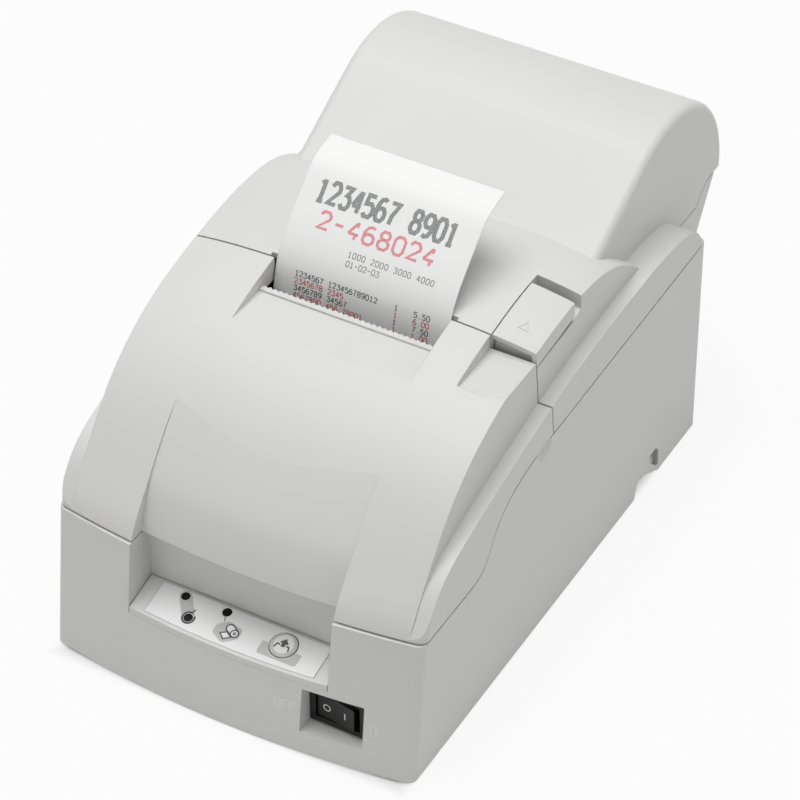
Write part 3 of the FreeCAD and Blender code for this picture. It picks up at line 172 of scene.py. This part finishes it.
def brushed(name, colour, roughness, stretch):
    """Metal with fine drawn lines along one direction."""
    material, tree, shader = new_material(name)
    coords = tree.nodes.new("ShaderNodeTexCoord")
    mapping = tree.nodes.new("ShaderNodeMapping")
    mapping.inputs["Scale"].default_value = stretch
    lines = noise(tree, BRUSH_SCALE, BRUSH_DETAIL)
    gloss = tree.nodes.new("ShaderNodeMapRange")
    gloss.inputs["To Min"].default_value = roughness - BRUSH_SMOOTHER
    gloss.inputs["To Max"].default_value = roughness + BRUSH_ROUGHER
    bump = tree.nodes.new("ShaderNodeBump")
    bump.inputs["Strength"].default_value = BRUSH_DEPTH
    bump.inputs["Distance"].default_value = BRUSH_HEIGHT
    shader.inputs["Base Color"].default_value = (*colour, 1)
    shader.inputs["Metallic"].default_value = 1.0
    link = tree.links.new
    link(coords.outputs["Object"], mapping.inputs["Vector"])
    link(mapping.outputs["Vector"], lines.inputs["Vector"])
    link(lines.outputs["Fac"], gloss.inputs["Value"])
    link(gloss.outputs["Result"], shader.inputs["Roughness"])
    link(lines.outputs["Fac"], bump.inputs["Height"])
    link(bump.outputs["Normal"], shader.inputs["Normal"])
    return material


# Ribbon ink: its specks, the part of the noise that makes them, and its roughness
SPECK_SCALE = 3600.0
SPECK_DETAIL = 2.0
SPECK_FROM = 0.35
SPECK_TO = 0.7
INK_ROUGHNESS = 0.6


def printed(name, colour, ground, speck):
    """Ink from a fabric ribbon: the ground shows through it in fine specks."""
    material, tree, shader = new_material(name)
    coords = tree.nodes.new("ShaderNodeTexCoord")
    grain = noise(tree, SPECK_SCALE, SPECK_DETAIL)
    spread = tree.nodes.new("ShaderNodeMapRange")
    spread.inputs["From Min"].default_value = SPECK_FROM
    spread.inputs["From Max"].default_value = SPECK_TO
    spread.inputs["To Max"].default_value = speck
    mix = tree.nodes.new("ShaderNodeMix")
    mix.data_type = "RGBA"
    mix.inputs["A"].default_value = (*colour, 1)
    mix.inputs["B"].default_value = (*ground, 1)
    shader.inputs["Roughness"].default_value = INK_ROUGHNESS
    link = tree.links.new
    link(coords.outputs["Object"], grain.inputs["Vector"])
    link(grain.outputs["Fac"], spread.inputs["Value"])
    link(spread.outputs["Result"], mix.inputs["Factor"])
    link(mix.outputs["Result"], shader.inputs["Base Color"])
    return material


# Colours that more than one look shares
CASE = (0.655, 0.655, 0.637)
FILM = (0.80, 0.80, 0.80)
PAPER = (0.83, 0.83, 0.825)
# Moulded looks: colour, roughness, grain scale, grain depth, then blotch and sheen where they differ
MOULDED = {
    "case_plastic": (CASE, 0.48, 2600, 0.35),
    "panel_plastic": (CASE, 0.48, 2600, 0.35),
    "overlay_film": (FILM, 0.40, 3500, 0.12, 0.015),
    "lamp_lens": ((0.008, 0.008, 0.009), 0.25, 900, 0.05, 0.1, 0.12),
    "button_plastic": ((0.52, 0.52, 0.515), 0.42, 2600, 0.2, 0.015),
    "switch_plastic": ((0.012, 0.011, 0.011), 0.42, 2200, 0.25, 0.1, 0.25),
    "rubber": ((0.025, 0.025, 0.025), 0.75, 1500, 0.5, 0.15),
    "inner_plastic": ((0.045, 0.045, 0.05), 0.45, 2200, 0.3, 0.1),
    "gear_plastic": ((0.66, 0.62, 0.5), 0.4, 2000, 0.15, 0.04),
    "ribbon_fabric": ((0.02, 0.012, 0.018), 0.8, 4000, 0.8, 0.2),
    "paper": (PAPER, 0.7, 3200, 0.15, 0.012),
    "card": ((0.42, 0.29, 0.17), 0.8, 1800, 0.4, 0.12),
    "board": ((0.012, 0.10, 0.04), 0.35, 1200, 0.1, 0.12),
}
# Metal looks: colour, roughness, how the lines are stretched along x, y and z
BRUSHED = {
    "steel": ((0.55, 0.56, 0.57), 0.32, (1, 12, 12)),
    "motor_metal": ((0.16, 0.16, 0.17), 0.38, (8, 8, 1)),
    "head_metal": ((0.22, 0.22, 0.23), 0.45, (4, 4, 4)),
}
# Inks: colour, colour of the ground, how much of the ground shows
PRINTED = {
    "film_grey": ((0.50, 0.50, 0.495), FILM, 0.10),
    # The lever triangle is moulded in the case plastic; its darker tone is painted shade of its relief.
    "relief_painted_shade": ((0.56, 0.56, 0.55), CASE, 0.2),
    "film_edge": ((0.40, 0.40, 0.39), FILM, 0.15),
    "ink_dark": ((0.035, 0.035, 0.036), PAPER, 0.10),
    "ink_white": ((0.72, 0.72, 0.72), (0.3, 0.3, 0.3), 0.15),
    "ink_pale": ((0.78, 0.78, 0.77), (0.68, 0.68, 0.67), 0.2),
    "ink_heading": ((0.13, 0.135, 0.135), PAPER, 0.42),
    "ink_pink": ((0.66, 0.16, 0.19), PAPER, 0.40),
    "ink_soft": ((0.10, 0.10, 0.10), PAPER, 0.25),
    "ink_red": ((0.55, 0.03, 0.03), PAPER, 0.15),
}
looks = {name: moulded(name, *values) for name, values in MOULDED.items()}
looks.update({name: brushed(name, *values) for name, values in BRUSHED.items()})
looks.update({name: printed(name, *values) for name, values in PRINTED.items()})


# Shapes drawn on surfaces, in millimetres: the levels of the ink's two sides and how far off the
# search for a surface starts. The mitre limit keeps sharp bends from being drawn out to spikes.
INK_TOP = 0.05
INK_BOTTOM = -0.12
CAST_FROM = 400.0
MITRE_LIMIT = 0.6


def surface(node, way):
    """Finder of points on a node, looking down on (x, y) for "top" or rearward on (x, z) for "front"."""
    obj = nodes[node]
    corners = [obj.matrix_world @ v.co / MM for v in obj.data.vertices]
    tree = BVHTree.FromPolygons(corners, [tuple(p.vertices) for p in obj.data.polygons])

    def place(u, v, lift):
        if way == "top":
            start, aim = Vector((u, v, CAST_FROM)), Vector((0, 0, -1))
        else:
            start, aim = Vector((u, -CAST_FROM, v)), Vector((0, 1, 0))
        hit, normal, _, _ = tree.ray_cast(start, aim)
        if normal.dot(aim) > 0:
            normal = -normal
        return hit + normal * lift

    return place


class Ink:
    """Thin closed layer of print or relief, gathered shape by shape and laid on a surface."""

    def __init__(self, place, bottom=INK_BOTTOM, top=INK_TOP):
        self.place = place
        self.levels = (bottom, top)
        self.points = []
        self.faces = []

    def column(self, point):
        """Lower and upper vertex of one drawn point."""
        first = len(self.points)
        self.points += [self.place(point[0], point[1], level) for level in self.levels]
        return first, first + 1

    def fill(self, outline):
        """Outline filled in, drawn counter-clockwise."""
        posts = [self.column(p) for p in outline]
        self.faces.append([b for a, b in posts])
        self.faces.append([a for a, b in reversed(posts)])
        for (a, b), (c, d) in zip(posts, posts[1:] + posts[:1]):
            self.faces.append([a, c, d, b])

    def line(self, path, width, closed=False):
        """Line of even width along a path."""
        sides = [(self.column(p), self.column(q)) for p, q in edges_of(path, width, closed)]
        pairs = list(zip(sides, sides[1:] + sides[:1]))
        for (l0, r0), (l1, r1) in pairs if closed else pairs[:-1]:
            self.faces.append([l0[1], r0[1], r1[1], l1[1]])
            self.faces.append([l0[0], l1[0], r1[0], r0[0]])
            self.faces.append([r0[0], r1[0], r1[1], r0[1]])
            self.faces.append([l0[0], l0[1], l1[1], l1[0]])
        if not closed:
            for (left, right), flip in ((sides[0], False), (sides[-1], True)):
                cap = [left[0], right[0], right[1], left[1]]
                self.faces.append(cap[::-1] if flip else cap)

    def piece(self, name, body, material, slot):
        """The gathered shapes as one piece that rides a body."""
        return make_piece(name, [p * MM for p in self.points], self.faces, body, material)


def edges_of(path, width, closed):
    """Left and right edge points of a line, mitred at its bends."""
    path = [Vector(p) for p in path]
    sides = []
    for i, point in enumerate(path):
        ways = []
        if i or closed:
            ways.append((point - path[i - 1]).normalized())
        if i < len(path) - 1 or closed:
            ways.append((path[(i + 1) % len(path)] - point).normalized())
        way = sum(ways, Vector((0, 0))).normalized()
        normal = Vector((-way.y, way.x))
        reach = width / 2 / max(normal.dot(Vector((-ways[0].y, ways[0].x))), MITRE_LIMIT)
        sides.append((point + normal * reach, point - normal * reach))
    return sides


def make_piece(name, points, faces, body, material):
    """Mesh object from points in metres, riding a body."""
    mesh = bpy.data.meshes.new(name)
    mesh.from_pydata([tuple(p) for p in points], [], faces)
    mesh.update()
    mesh.materials.append(material)
    obj = bpy.data.objects.new(name, mesh)
    bpy.context.collection.objects.link(obj)
    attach(obj, body)
    return obj


def circle(x, y, radius, steps=40, start=0.0, turn=360.0):
    """Points round a circle, or along an arc of it, in degrees."""
    count = steps if turn == 360.0 else steps + 1
    angles = [math.radians(start + turn * i / steps) for i in range(count)]
    return [(x + radius * math.cos(a), y + radius * math.sin(a)) for a in angles]


def rounded(corners, radius, steps=6):
    """Outline with its corners rounded."""
    outline = []
    corners = [Vector(c) for c in corners]
    for i, corner in enumerate(corners):
        before = corners[i - 1]
        after = corners[(i + 1) % len(corners)]
        start = corner + (before - corner).normalized() * radius
        end = corner + (after - corner).normalized() * radius
        for k in range(steps + 1):
            t = k / steps
            bend = start * (1 - t) ** 2 + corner * 2 * t * (1 - t) + end * t ** 2
            outline.append((bend.x, bend.y))
    return outline


# Figures and the letters of ON and OFF as lines in a box 1 wide and 1.5 high; True closes a line
GLYPH_HEIGHT = 1.5
GLYPHS = {
    "0": [([(0.25, 0), (0.75, 0), (1, 0.3), (1, 1.2), (0.75, 1.5), (0.25, 1.5), (0, 1.2), (0, 0.3)], True)],
    "1": [([(0.5, 1.5), (0.5, 0)], False), ([(0.1, 1.2), (0.5, 1.42)], False),
          ([(0.15, 0), (0.85, 0)], False)],
    "2": [([(0, 1.2), (0.25, 1.5), (0.75, 1.5), (1, 1.2), (1, 0.95), (0, 0.05), (1, 0.05)], False)],
    "3": [([(0, 1.45), (0.95, 1.45), (0.5, 0.9), (0.8, 0.85), (1, 0.6), (1, 0.25), (0.75, 0), (0.25, 0),
            (0, 0.25)], False)],
    "4": [([(0.72, 0), (0.72, 1.5)], False), ([(0.66, 1.45), (0.02, 0.45)], False),
          ([(0, 0.45), (1, 0.45)], False)],
    "5": [([(0.95, 1.45), (0.1, 1.45), (0.05, 0.85), (0.7, 0.9), (1, 0.65), (1, 0.25), (0.75, 0), (0.2, 0),
            (0, 0.2)], False)],
    "6": [([(0.9, 1.4), (0.6, 1.5), (0.25, 1.4), (0, 1), (0, 0.25), (0.25, 0), (0.75, 0), (1, 0.25),
            (1, 0.6), (0.75, 0.85), (0.25, 0.85), (0, 0.6)], False)],
    "7": [([(0, 1.45), (1, 1.45), (0.45, 0.6), (0.4, 0)], False)],
    "8": [([(0.25, 0.8), (0, 0.55), (0, 0.25), (0.25, 0), (0.75, 0), (1, 0.25), (1, 0.55),
            (0.75, 0.8)], True),
          ([(0.28, 0.84), (0.08, 1.02), (0.08, 1.3), (0.28, 1.5), (0.72, 1.5), (0.92, 1.3), (0.92, 1.02),
            (0.72, 0.84)], True)],
    "9": [([(0.1, 0.1), (0.4, 0), (0.75, 0.1), (1, 0.5), (1, 1.25), (0.75, 1.5), (0.25, 1.5), (0, 1.25),
            (0, 0.9), (0.25, 0.65), (0.75, 0.65), (1, 0.9)], False)],
    "-": [([(0.1, 0.75), (0.9, 0.75)], False)],
    ".": [([(0.38, 0.06), (0.62, 0.06)], False)],
    "N": [([(0, 0), (0, 1.5), (1, 0), (1, 1.5)], False)],
    "F": [([(1, 1.45), (0, 1.45), (0, 0)], False), ([(0, 0.8), (0.8, 0.8)], False)],
}
GLYPHS["O"] = GLYPHS["0"]


def write(ink, text, x, y, width, height, pitch, weight):
    """Text as lines, its lower left corner at (x, y)."""
    for i, sign in enumerate(text):
        for path, closed in GLYPHS.get(sign, []):
            drawn = [(x + i * pitch + u * width, y + v * height / GLYPH_HEIGHT) for u, v in path]
            ink.line(drawn, weight, closed)


# Control panel: places are (x, distance behind the front lip)
LIP_Y = -138.5
LAMPS = [(-26.0, 15.0), (-20.0, 7.0)]
PILL_HALF = 2.5
RING_RADIUS = 2.45
RING_TICK = [(0.3, 2.3), (0.75, 4.1)]
ROLL_TICK = [(-7.2, 13.1), (-6.4, 11.2)]
FILM_HALF = 37.3
FILM_NEAR = 3.5
FILM_FAR = 17.5
FILM_LINE = 0.22
BUTTON = (19.8, 11.0)
FIELD_RADIUS = 6.1
FIELD_CORNER = 1.1
FIELD_LEFT = (12.5, 5.3)
FIELD_RIGHT = (27.4, 5.3)
FIELD_RIGHT_SHOULDER = [(28.5, 9.3), (28.0, 9.8)]
FIELD_LEFT_SHOULDER = [(11.7, 9.8), (11.4, 9.3)]
ROLL_PATCH = [(-8.6, 5.3), (-2.8, 2.4), (2.6, 6.4), (2.1, 10.7), (-4.6, 12.0), (-8.4, 9.3)]
ROLL_SHEET = [(-5.4, 6.1), (-3.0, 4.1), (-0.5, 6.0), (-2.9, 7.5)]
ROLL_NEAR = (0.0, 7.8)
ROLL_FAR = (-2.7, 9.4)
ROLL_RADIUS = 1.6
ROLL_BORE = 0.45
ROLL_LINE = 0.52


def panel_graphics():
    """Grey fields and pictograms on the control panel; its words are left off."""
    film = surface("panel_overlay", "top")

    def on_film(x, inset, lift):
        return film(x, LIP_Y + inset, lift)

    grey = Ink(on_film)
    (x0, y0), (x1, y1) = LAMPS
    way = math.degrees(math.atan2(y1 - y0, x1 - x0))
    pill = circle(x0, y0, PILL_HALF, 12, way + 90, 180)
    pill += circle(x1, y1, PILL_HALF, 12, way - 90, 180)
    grey.fill(pill)
    grey.fill(rounded(ROLL_PATCH, 1.5))
    field = circle(*FIELD_LEFT, FIELD_CORNER, 6, 180, 90) + circle(*FIELD_RIGHT, FIELD_CORNER, 6, 270, 90)
    field += FIELD_RIGHT_SHOULDER + circle(*BUTTON, FIELD_RADIUS, 24, -11, -158) + FIELD_LEFT_SHOULDER
    grey.fill(field)
    grey.piece("panel_fields", "case", looks["film_grey"], "overlay_film")

    edge = Ink(on_film, top=0.04)
    for side in (-1, 1):
        edge.line([(side * FILM_HALF, FILM_NEAR), (side * FILM_HALF, FILM_FAR)], FILM_LINE)
    edge.line([(-FILM_HALF, FILM_FAR), (FILM_HALF, FILM_FAR)], FILM_LINE)
    edge.piece("panel_film_edge", "case", looks["film_edge"], "overlay_film")

    white = Ink(on_film, top=0.08)
    across = math.degrees(math.atan2(ROLL_FAR[1] - ROLL_NEAR[1], ROLL_FAR[0] - ROLL_NEAR[0]))
    barrel = circle(*ROLL_NEAR, ROLL_RADIUS, 12, across + 90, 180)
    barrel += circle(*ROLL_FAR, ROLL_RADIUS, 12, across - 90, 180)
    white.fill(ROLL_SHEET)
    white.fill(barrel)
    white.piece("panel_pictogram_ground", "case", looks["overlay_film"], "overlay_film")

    dark = Ink(on_film, top=0.11)
    dark.line(circle(x1, y1, RING_RADIUS, 28, 75, 318), 0.75)
    dark.line([(x1 + x, y1 + y) for x, y in RING_TICK], 0.6)
    dark.line(ROLL_TICK, 0.35)
    dark.line(ROLL_SHEET, ROLL_LINE, True)
    dark.line(barrel, ROLL_LINE, True)
    dark.line(circle(*ROLL_NEAR, ROLL_RADIUS, 24), 0.5, True)
    dark.line(circle(*ROLL_NEAR, ROLL_BORE, 12), 0.4, True)
    dark.piece("panel_marks", "case", looks["ink_dark"], "overlay_film")


# Marks on the button from its middle, on the switch in (x, z) and on the lever in (x, y)
BUTTON_FIELD = 4.2
ARROW = [(-0.8, -1.2), (0.8, -1.2), (0.8, 0.3), (2.0, 0.3), (0.0, 2.5), (-2.0, 0.3), (-0.8, 0.3)]
ARROW_LEG = [(3.1, -2.4), (2.5, -0.5), (1.3, -0.5)]
ROCKER_O = (41.6, 20.9, 1.45)
ROCKER_I = [(49.9, 19.4), (49.9, 22.6)]
SWITCH_WORDS = [("OFF", 22.6), ("ON", 61.9)]
# Height above the table, letter width, letter height, pitch, line width
WORD_STYLE = (18.9, 2.3, 4.3, 3.1, 0.42)
LEVER_TRIANGLE = [(62.3, -23.8), (66.4, -23.8), (64.3, -19.7)]


def button_marks():
    """White field and feed arrow on the grey push button."""
    cap = surface("feed_button", "top")

    def on_cap(x, inset, lift):
        return cap(BUTTON[0] + x, LIP_Y + BUTTON[1] + inset, lift)

    field = Ink(on_cap)
    field.fill(circle(0, 0, BUTTON_FIELD))
    field.piece("button_field", "feed_button", looks["overlay_film"], "overlay_film")
    arrow = Ink(on_cap, top=0.1)
    arrow.fill(ARROW)
    for side in (-1, 1):
        arrow.line([(side * x, y) for x, y in ARROW_LEG], 0.6)
    arrow.piece("button_arrow", "feed_button", looks["ink_dark"], "overlay_film")


def switch_marks():
    """O and I on the rocker, OFF and ON beside the switch, tone on tone."""
    face = surface("power_rocker", "front")
    marks = Ink(face)
    marks.line(circle(*ROCKER_O, 28), 0.42, True)
    marks.line(ROCKER_I, 0.5)
    marks.piece("rocker_marks", "power_rocker", looks["ink_white"], "switch_plastic")
    front = surface("lower_case", "front")
    words = Ink(front, bottom=-0.1, top=0.06)
    for text, x in SWITCH_WORDS:
        write(words, text, x, *WORD_STYLE)
    words.piece("switch_words", "case", looks["ink_pale"], "case_plastic")


def lever_mark():
    """Raised triangle on the cover lever, pointing rearward, drawn darker than the case as painted shade."""
    top = surface("cover_lever", "top")
    mark = Ink(top, bottom=-0.2, top=0.16)
    mark.line(LEVER_TRIANGLE, 0.42, True)
    mark.piece("lever_triangle", "cover_lever", looks["relief_painted_shade"], "case_plastic")


# Receipt: where it runs (y, z), and its printed rows of plain numbers
RECEIPT_WIDTH = 76.0
RECEIPT_THICK = 0.12
RECEIPT_PATH = [(-37.6, 113.6), (-34.6, 124.0), (-31.2, 135.6), (-24.8, 145.2), (-13.0, 156.4),
                (-3.0, 164.2), (10.5, 167.3)]
RECEIPT_STEPS = 10
RECEIPT_COLUMNS = 12
RECEIPT_SHARP = 40.0
PRINT_BOTTOM = -0.06
PRINT_TOP = 0.03
# Each row: text, x, height along the paper, letter width, letter height, pitch, line width, ink
ROWS = [
    ("1234567 8901", -30.6, 48.6, 3.5, 8.6, 5.1, 1.7, "ink_heading"),
    ("2-468024", -25.8, 38.7, 4.3, 6.8, 6.5, 1.15, "ink_pink"),
    ("1000 2000 3000 4000", -9.6, 31.9, 1.25, 2.2, 1.98, 0.3, "ink_soft"),
    ("01-02-03", -9.4, 28.3, 1.25, 2.2, 1.85, 0.3, "ink_soft"),
]
ITEM_START = 18.3
ITEM_DROP = 3.05
ITEMS = [("1234567", "123456789012", "1", "5.50"), ("2345678", "2345", "1", "6.00"),
         ("3456789", "34567", "1", "7.50"), ("4567890", "456 78901", "1", "1.00")]
ITEM_PLACES = (-29.2, -14.6, 14.2, 22.6)
ITEM_INKS = ("ink_dark", "ink_red")
# Letter width, letter height, pitch, line width
ITEM_STYLE = (1.25, 2.2, 1.8, 0.36)


class Strip:
    """Smooth run of the receipt, met by distance along it."""

    def __init__(self, path, steps):
        spots = [Vector(p) for p in path]
        ends = [spots[0] * 2 - spots[1]] + spots + [spots[-1] * 2 - spots[-2]]
        self.spots = []
        for a, b, c, d in zip(ends, ends[1:], ends[2:], ends[3:]):
            for k in range(steps):
                t = k / steps
                square = (a * 2 - b * 5 + c * 4 - d) * t ** 2
                cube = (b * 3 - c * 3 + d - a) * t ** 3
                self.spots.append((b * 2 + (c - a) * t + square + cube) / 2)
        self.spots.append(spots[-1])
        self.along = [0.0]
        for p, q in zip(self.spots, self.spots[1:]):
            self.along.append(self.along[-1] + (q - p).length)
        self.length = self.along[-1]

    def place(self, x, distance, lift):
        """Point on the strip, lifted off its printed side."""
        i = min(max(bisect.bisect(self.along, distance) - 1, 0), len(self.spots) - 2)
        share = (distance - self.along[i]) / (self.along[i + 1] - self.along[i])
        spot = self.spots[i].lerp(self.spots[i + 1], share)
        along = self.way(i).lerp(self.way(i + 1), share).normalized()
        spot = spot + Vector((-along.y, along.x)) * lift
        return Vector((x, spot.x, spot.y))

    def way(self, i):
        """Direction of the strip at one of its spots."""
        low = max(i - 1, 0)
        high = min(i + 1, len(self.spots) - 1)
        return (self.spots[high] - self.spots[low]).normalized()


def paper_strip():
    """The receipt as a thin sheet with its print in two colours."""
    strip = Strip(RECEIPT_PATH, RECEIPT_STEPS)
    rows = len(strip.spots)
    points = []
    for lift in (0.0, -RECEIPT_THICK):
        for distance in strip.along:
            for k in range(RECEIPT_COLUMNS + 1):
                x = RECEIPT_WIDTH * (k / RECEIPT_COLUMNS - 0.5)
                points.append(strip.place(x, distance, lift) * MM)
    wide = RECEIPT_COLUMNS + 1
    under = rows * wide
    faces = []
    for r in range(rows - 1):
        for k in range(RECEIPT_COLUMNS):
            a = r * wide + k
            faces.append([a, a + 1, a + wide + 1, a + wide])
            faces.append([under + a, under + a + wide, under + a + wide + 1, under + a + 1])
    rim = list(range(wide))
    rim += [r * wide + wide - 1 for r in range(1, rows)]
    rim += [(rows - 1) * wide + k for k in range(wide - 2, -1, -1)]
    rim += [r * wide for r in range(rows - 2, 0, -1)]
    for a, b in zip(rim, rim[1:] + rim[:1]):
        faces.append([a, under + a, under + b, b])
    sheet = make_piece("receipt_paper", points, faces, "rear_cover", looks["paper"])
    sheet.data.shade_smooth()
    sheet.data.set_sharp_from_angle(angle=math.radians(RECEIPT_SHARP))
    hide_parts("receipt")
    inks = {}
    for text, x, height, width, tall, pitch, weight, name in ROWS:
        ink = inks.setdefault(name, Ink(strip.place, PRINT_BOTTOM, PRINT_TOP))
        write(ink, text, x, height, width, tall, pitch, weight)
    for i, item in enumerate(ITEMS):
        ink = inks.setdefault(ITEM_INKS[i % 2], Ink(strip.place, PRINT_BOTTOM, PRINT_TOP))
        for text, x in zip(item, ITEM_PLACES):
            write(ink, text, x, ITEM_START - i * ITEM_DROP, *ITEM_STYLE)
    prints = [ink.piece("receipt_" + name, "rear_cover", looks[name], "paper") for name, ink in inks.items()]


def dress_nodes():
    """Every CAD node takes the look of its material slot."""
    for part in frame["record"]["subparts"]:
        obj = nodes[part["node"]]
        obj.data.materials.clear()
        obj.data.materials.append(looks[part["material_slot"]])


# Floor and world: sizes of the footprint in millimetres, and light levels where 1 is white
FLOOR_SIZE = 8.0
FLOOR_COLOUR = (0.8, 0.8, 0.8, 1.0)
FLOOR_ROUGHNESS = 0.9
FLOOR_GLOW = 0.88
# Under the footprint the floor's glow is taken away, leaving real light and shadow; its fading edge is
# painted shade.
FOOTPRINT_HALF = (80.0, 124.0)
FOOTPRINT_Y = -19.0
PAINTED_SHADE_FADE = 8.0
SKY = 0.31
# Lamps: name, place in metres, size in metres, watts
STUDIO = [
    ("key", (-0.18, -0.03, 1.75), 1.3, 22.5),
    ("fill", (1.5, 0.35, 0.9), 1.2, 3.3),
    ("front", (-0.5, -1.6, 0.9), 1.2, 2.2),
]


def seen_rays(tree):
    """Socket that is 1 for rays by which the picture, metal and glass see the background."""
    path = tree.nodes.new("ShaderNodeLightPath")
    sums = path.outputs["Is Camera Ray"]
    for name in ("Is Glossy Ray", "Is Transmission Ray"):
        most = tree.nodes.new("ShaderNodeMath")
        most.operation = "MAXIMUM"
        tree.links.new(sums, most.inputs[0])
        tree.links.new(path.outputs[name], most.inputs[1])
        sums = most.outputs["Value"]
    return sums


def painted_shade_under_object(tree):
    """Socket that is 0 on the floor under the object and 1 all round it: painted shade under the object."""
    coords = tree.nodes.new("ShaderNodeTexCoord")
    centred = tree.nodes.new("ShaderNodeVectorMath")
    centred.operation = "SUBTRACT"
    centred.inputs[1].default_value = (0, FOOTPRINT_Y * MM, 0)
    size = tree.nodes.new("ShaderNodeVectorMath")
    size.operation = "ABSOLUTE"
    split = tree.nodes.new("ShaderNodeSeparateXYZ")
    most = tree.nodes.new("ShaderNodeMath")
    most.operation = "MAXIMUM"
    link = tree.links.new
    link(coords.outputs["Object"], centred.inputs[0])
    link(centred.outputs["Vector"], size.inputs[0])
    link(size.outputs["Vector"], split.inputs["Vector"])
    for i, (axis, half) in enumerate(zip("XY", FOOTPRINT_HALF)):
        fade = tree.nodes.new("ShaderNodeMapRange")
        fade.inputs["From Min"].default_value = (half - PAINTED_SHADE_FADE) * MM
        fade.inputs["From Max"].default_value = half * MM
        link(split.outputs[axis], fade.inputs["Value"])
        link(fade.outputs["Result"], most.inputs[i])
    return most.outputs["Value"]


def floor():
    """Plain pale floor that looks white, keeps a soft shadow and is painted into shade under the object."""
    bpy.ops.mesh.primitive_plane_add(size=FLOOR_SIZE)
    ground = bpy.context.object
    ground.name = "floor"
    material, tree, shader = new_material("floor")
    shader.inputs["Base Color"].default_value = FLOOR_COLOUR
    shader.inputs["Roughness"].default_value = FLOOR_ROUGHNESS
    glow = tree.nodes.new("ShaderNodeEmission")
    share = tree.nodes.new("ShaderNodeMath")
    share.operation = "MULTIPLY"
    share.inputs[1].default_value = FLOOR_GLOW
    mix = tree.nodes.new("ShaderNodeMixShader")
    out = tree.nodes["Material Output"]
    clear = tree.nodes.new("ShaderNodeMath")
    clear.operation = "MULTIPLY"
    link = tree.links.new
    link(seen_rays(tree), share.inputs[0])
    link(share.outputs["Value"], clear.inputs[0])
    link(painted_shade_under_object(tree), clear.inputs[1])
    link(clear.outputs["Value"], mix.inputs[0])
    link(shader.outputs["BSDF"], mix.inputs[1])
    link(glow.outputs["Emission"], mix.inputs[2])
    link(mix.outputs["Shader"], out.inputs["Surface"])
    ground.data.materials.append(material)


def light_scene():
    """Soft studio light: a broad key overhead, weak lamps from the right and the front, a pale world."""
    world = bpy.data.worlds.new("world")
    bpy.context.scene.world = world
    world.use_nodes = True
    tree = world.node_tree
    sky = tree.nodes["Background"]
    sky.inputs["Color"].default_value = (1, 1, 1, 1)
    level = tree.nodes.new("ShaderNodeMapRange")
    level.inputs["To Min"].default_value = SKY
    level.inputs["To Max"].default_value = 1.0
    tree.links.new(seen_rays(tree), level.inputs["Value"])
    tree.links.new(level.outputs["Result"], sky.inputs["Strength"])
    for name, place, size, power in STUDIO:
        lamp(name, place, size, power)
    bpy.context.scene.view_settings.view_transform = "Standard"


dress_nodes()
panel_graphics()
button_marks()
switch_marks()
lever_mark()
paper_strip()
floor()
light_scene()
place_camera()
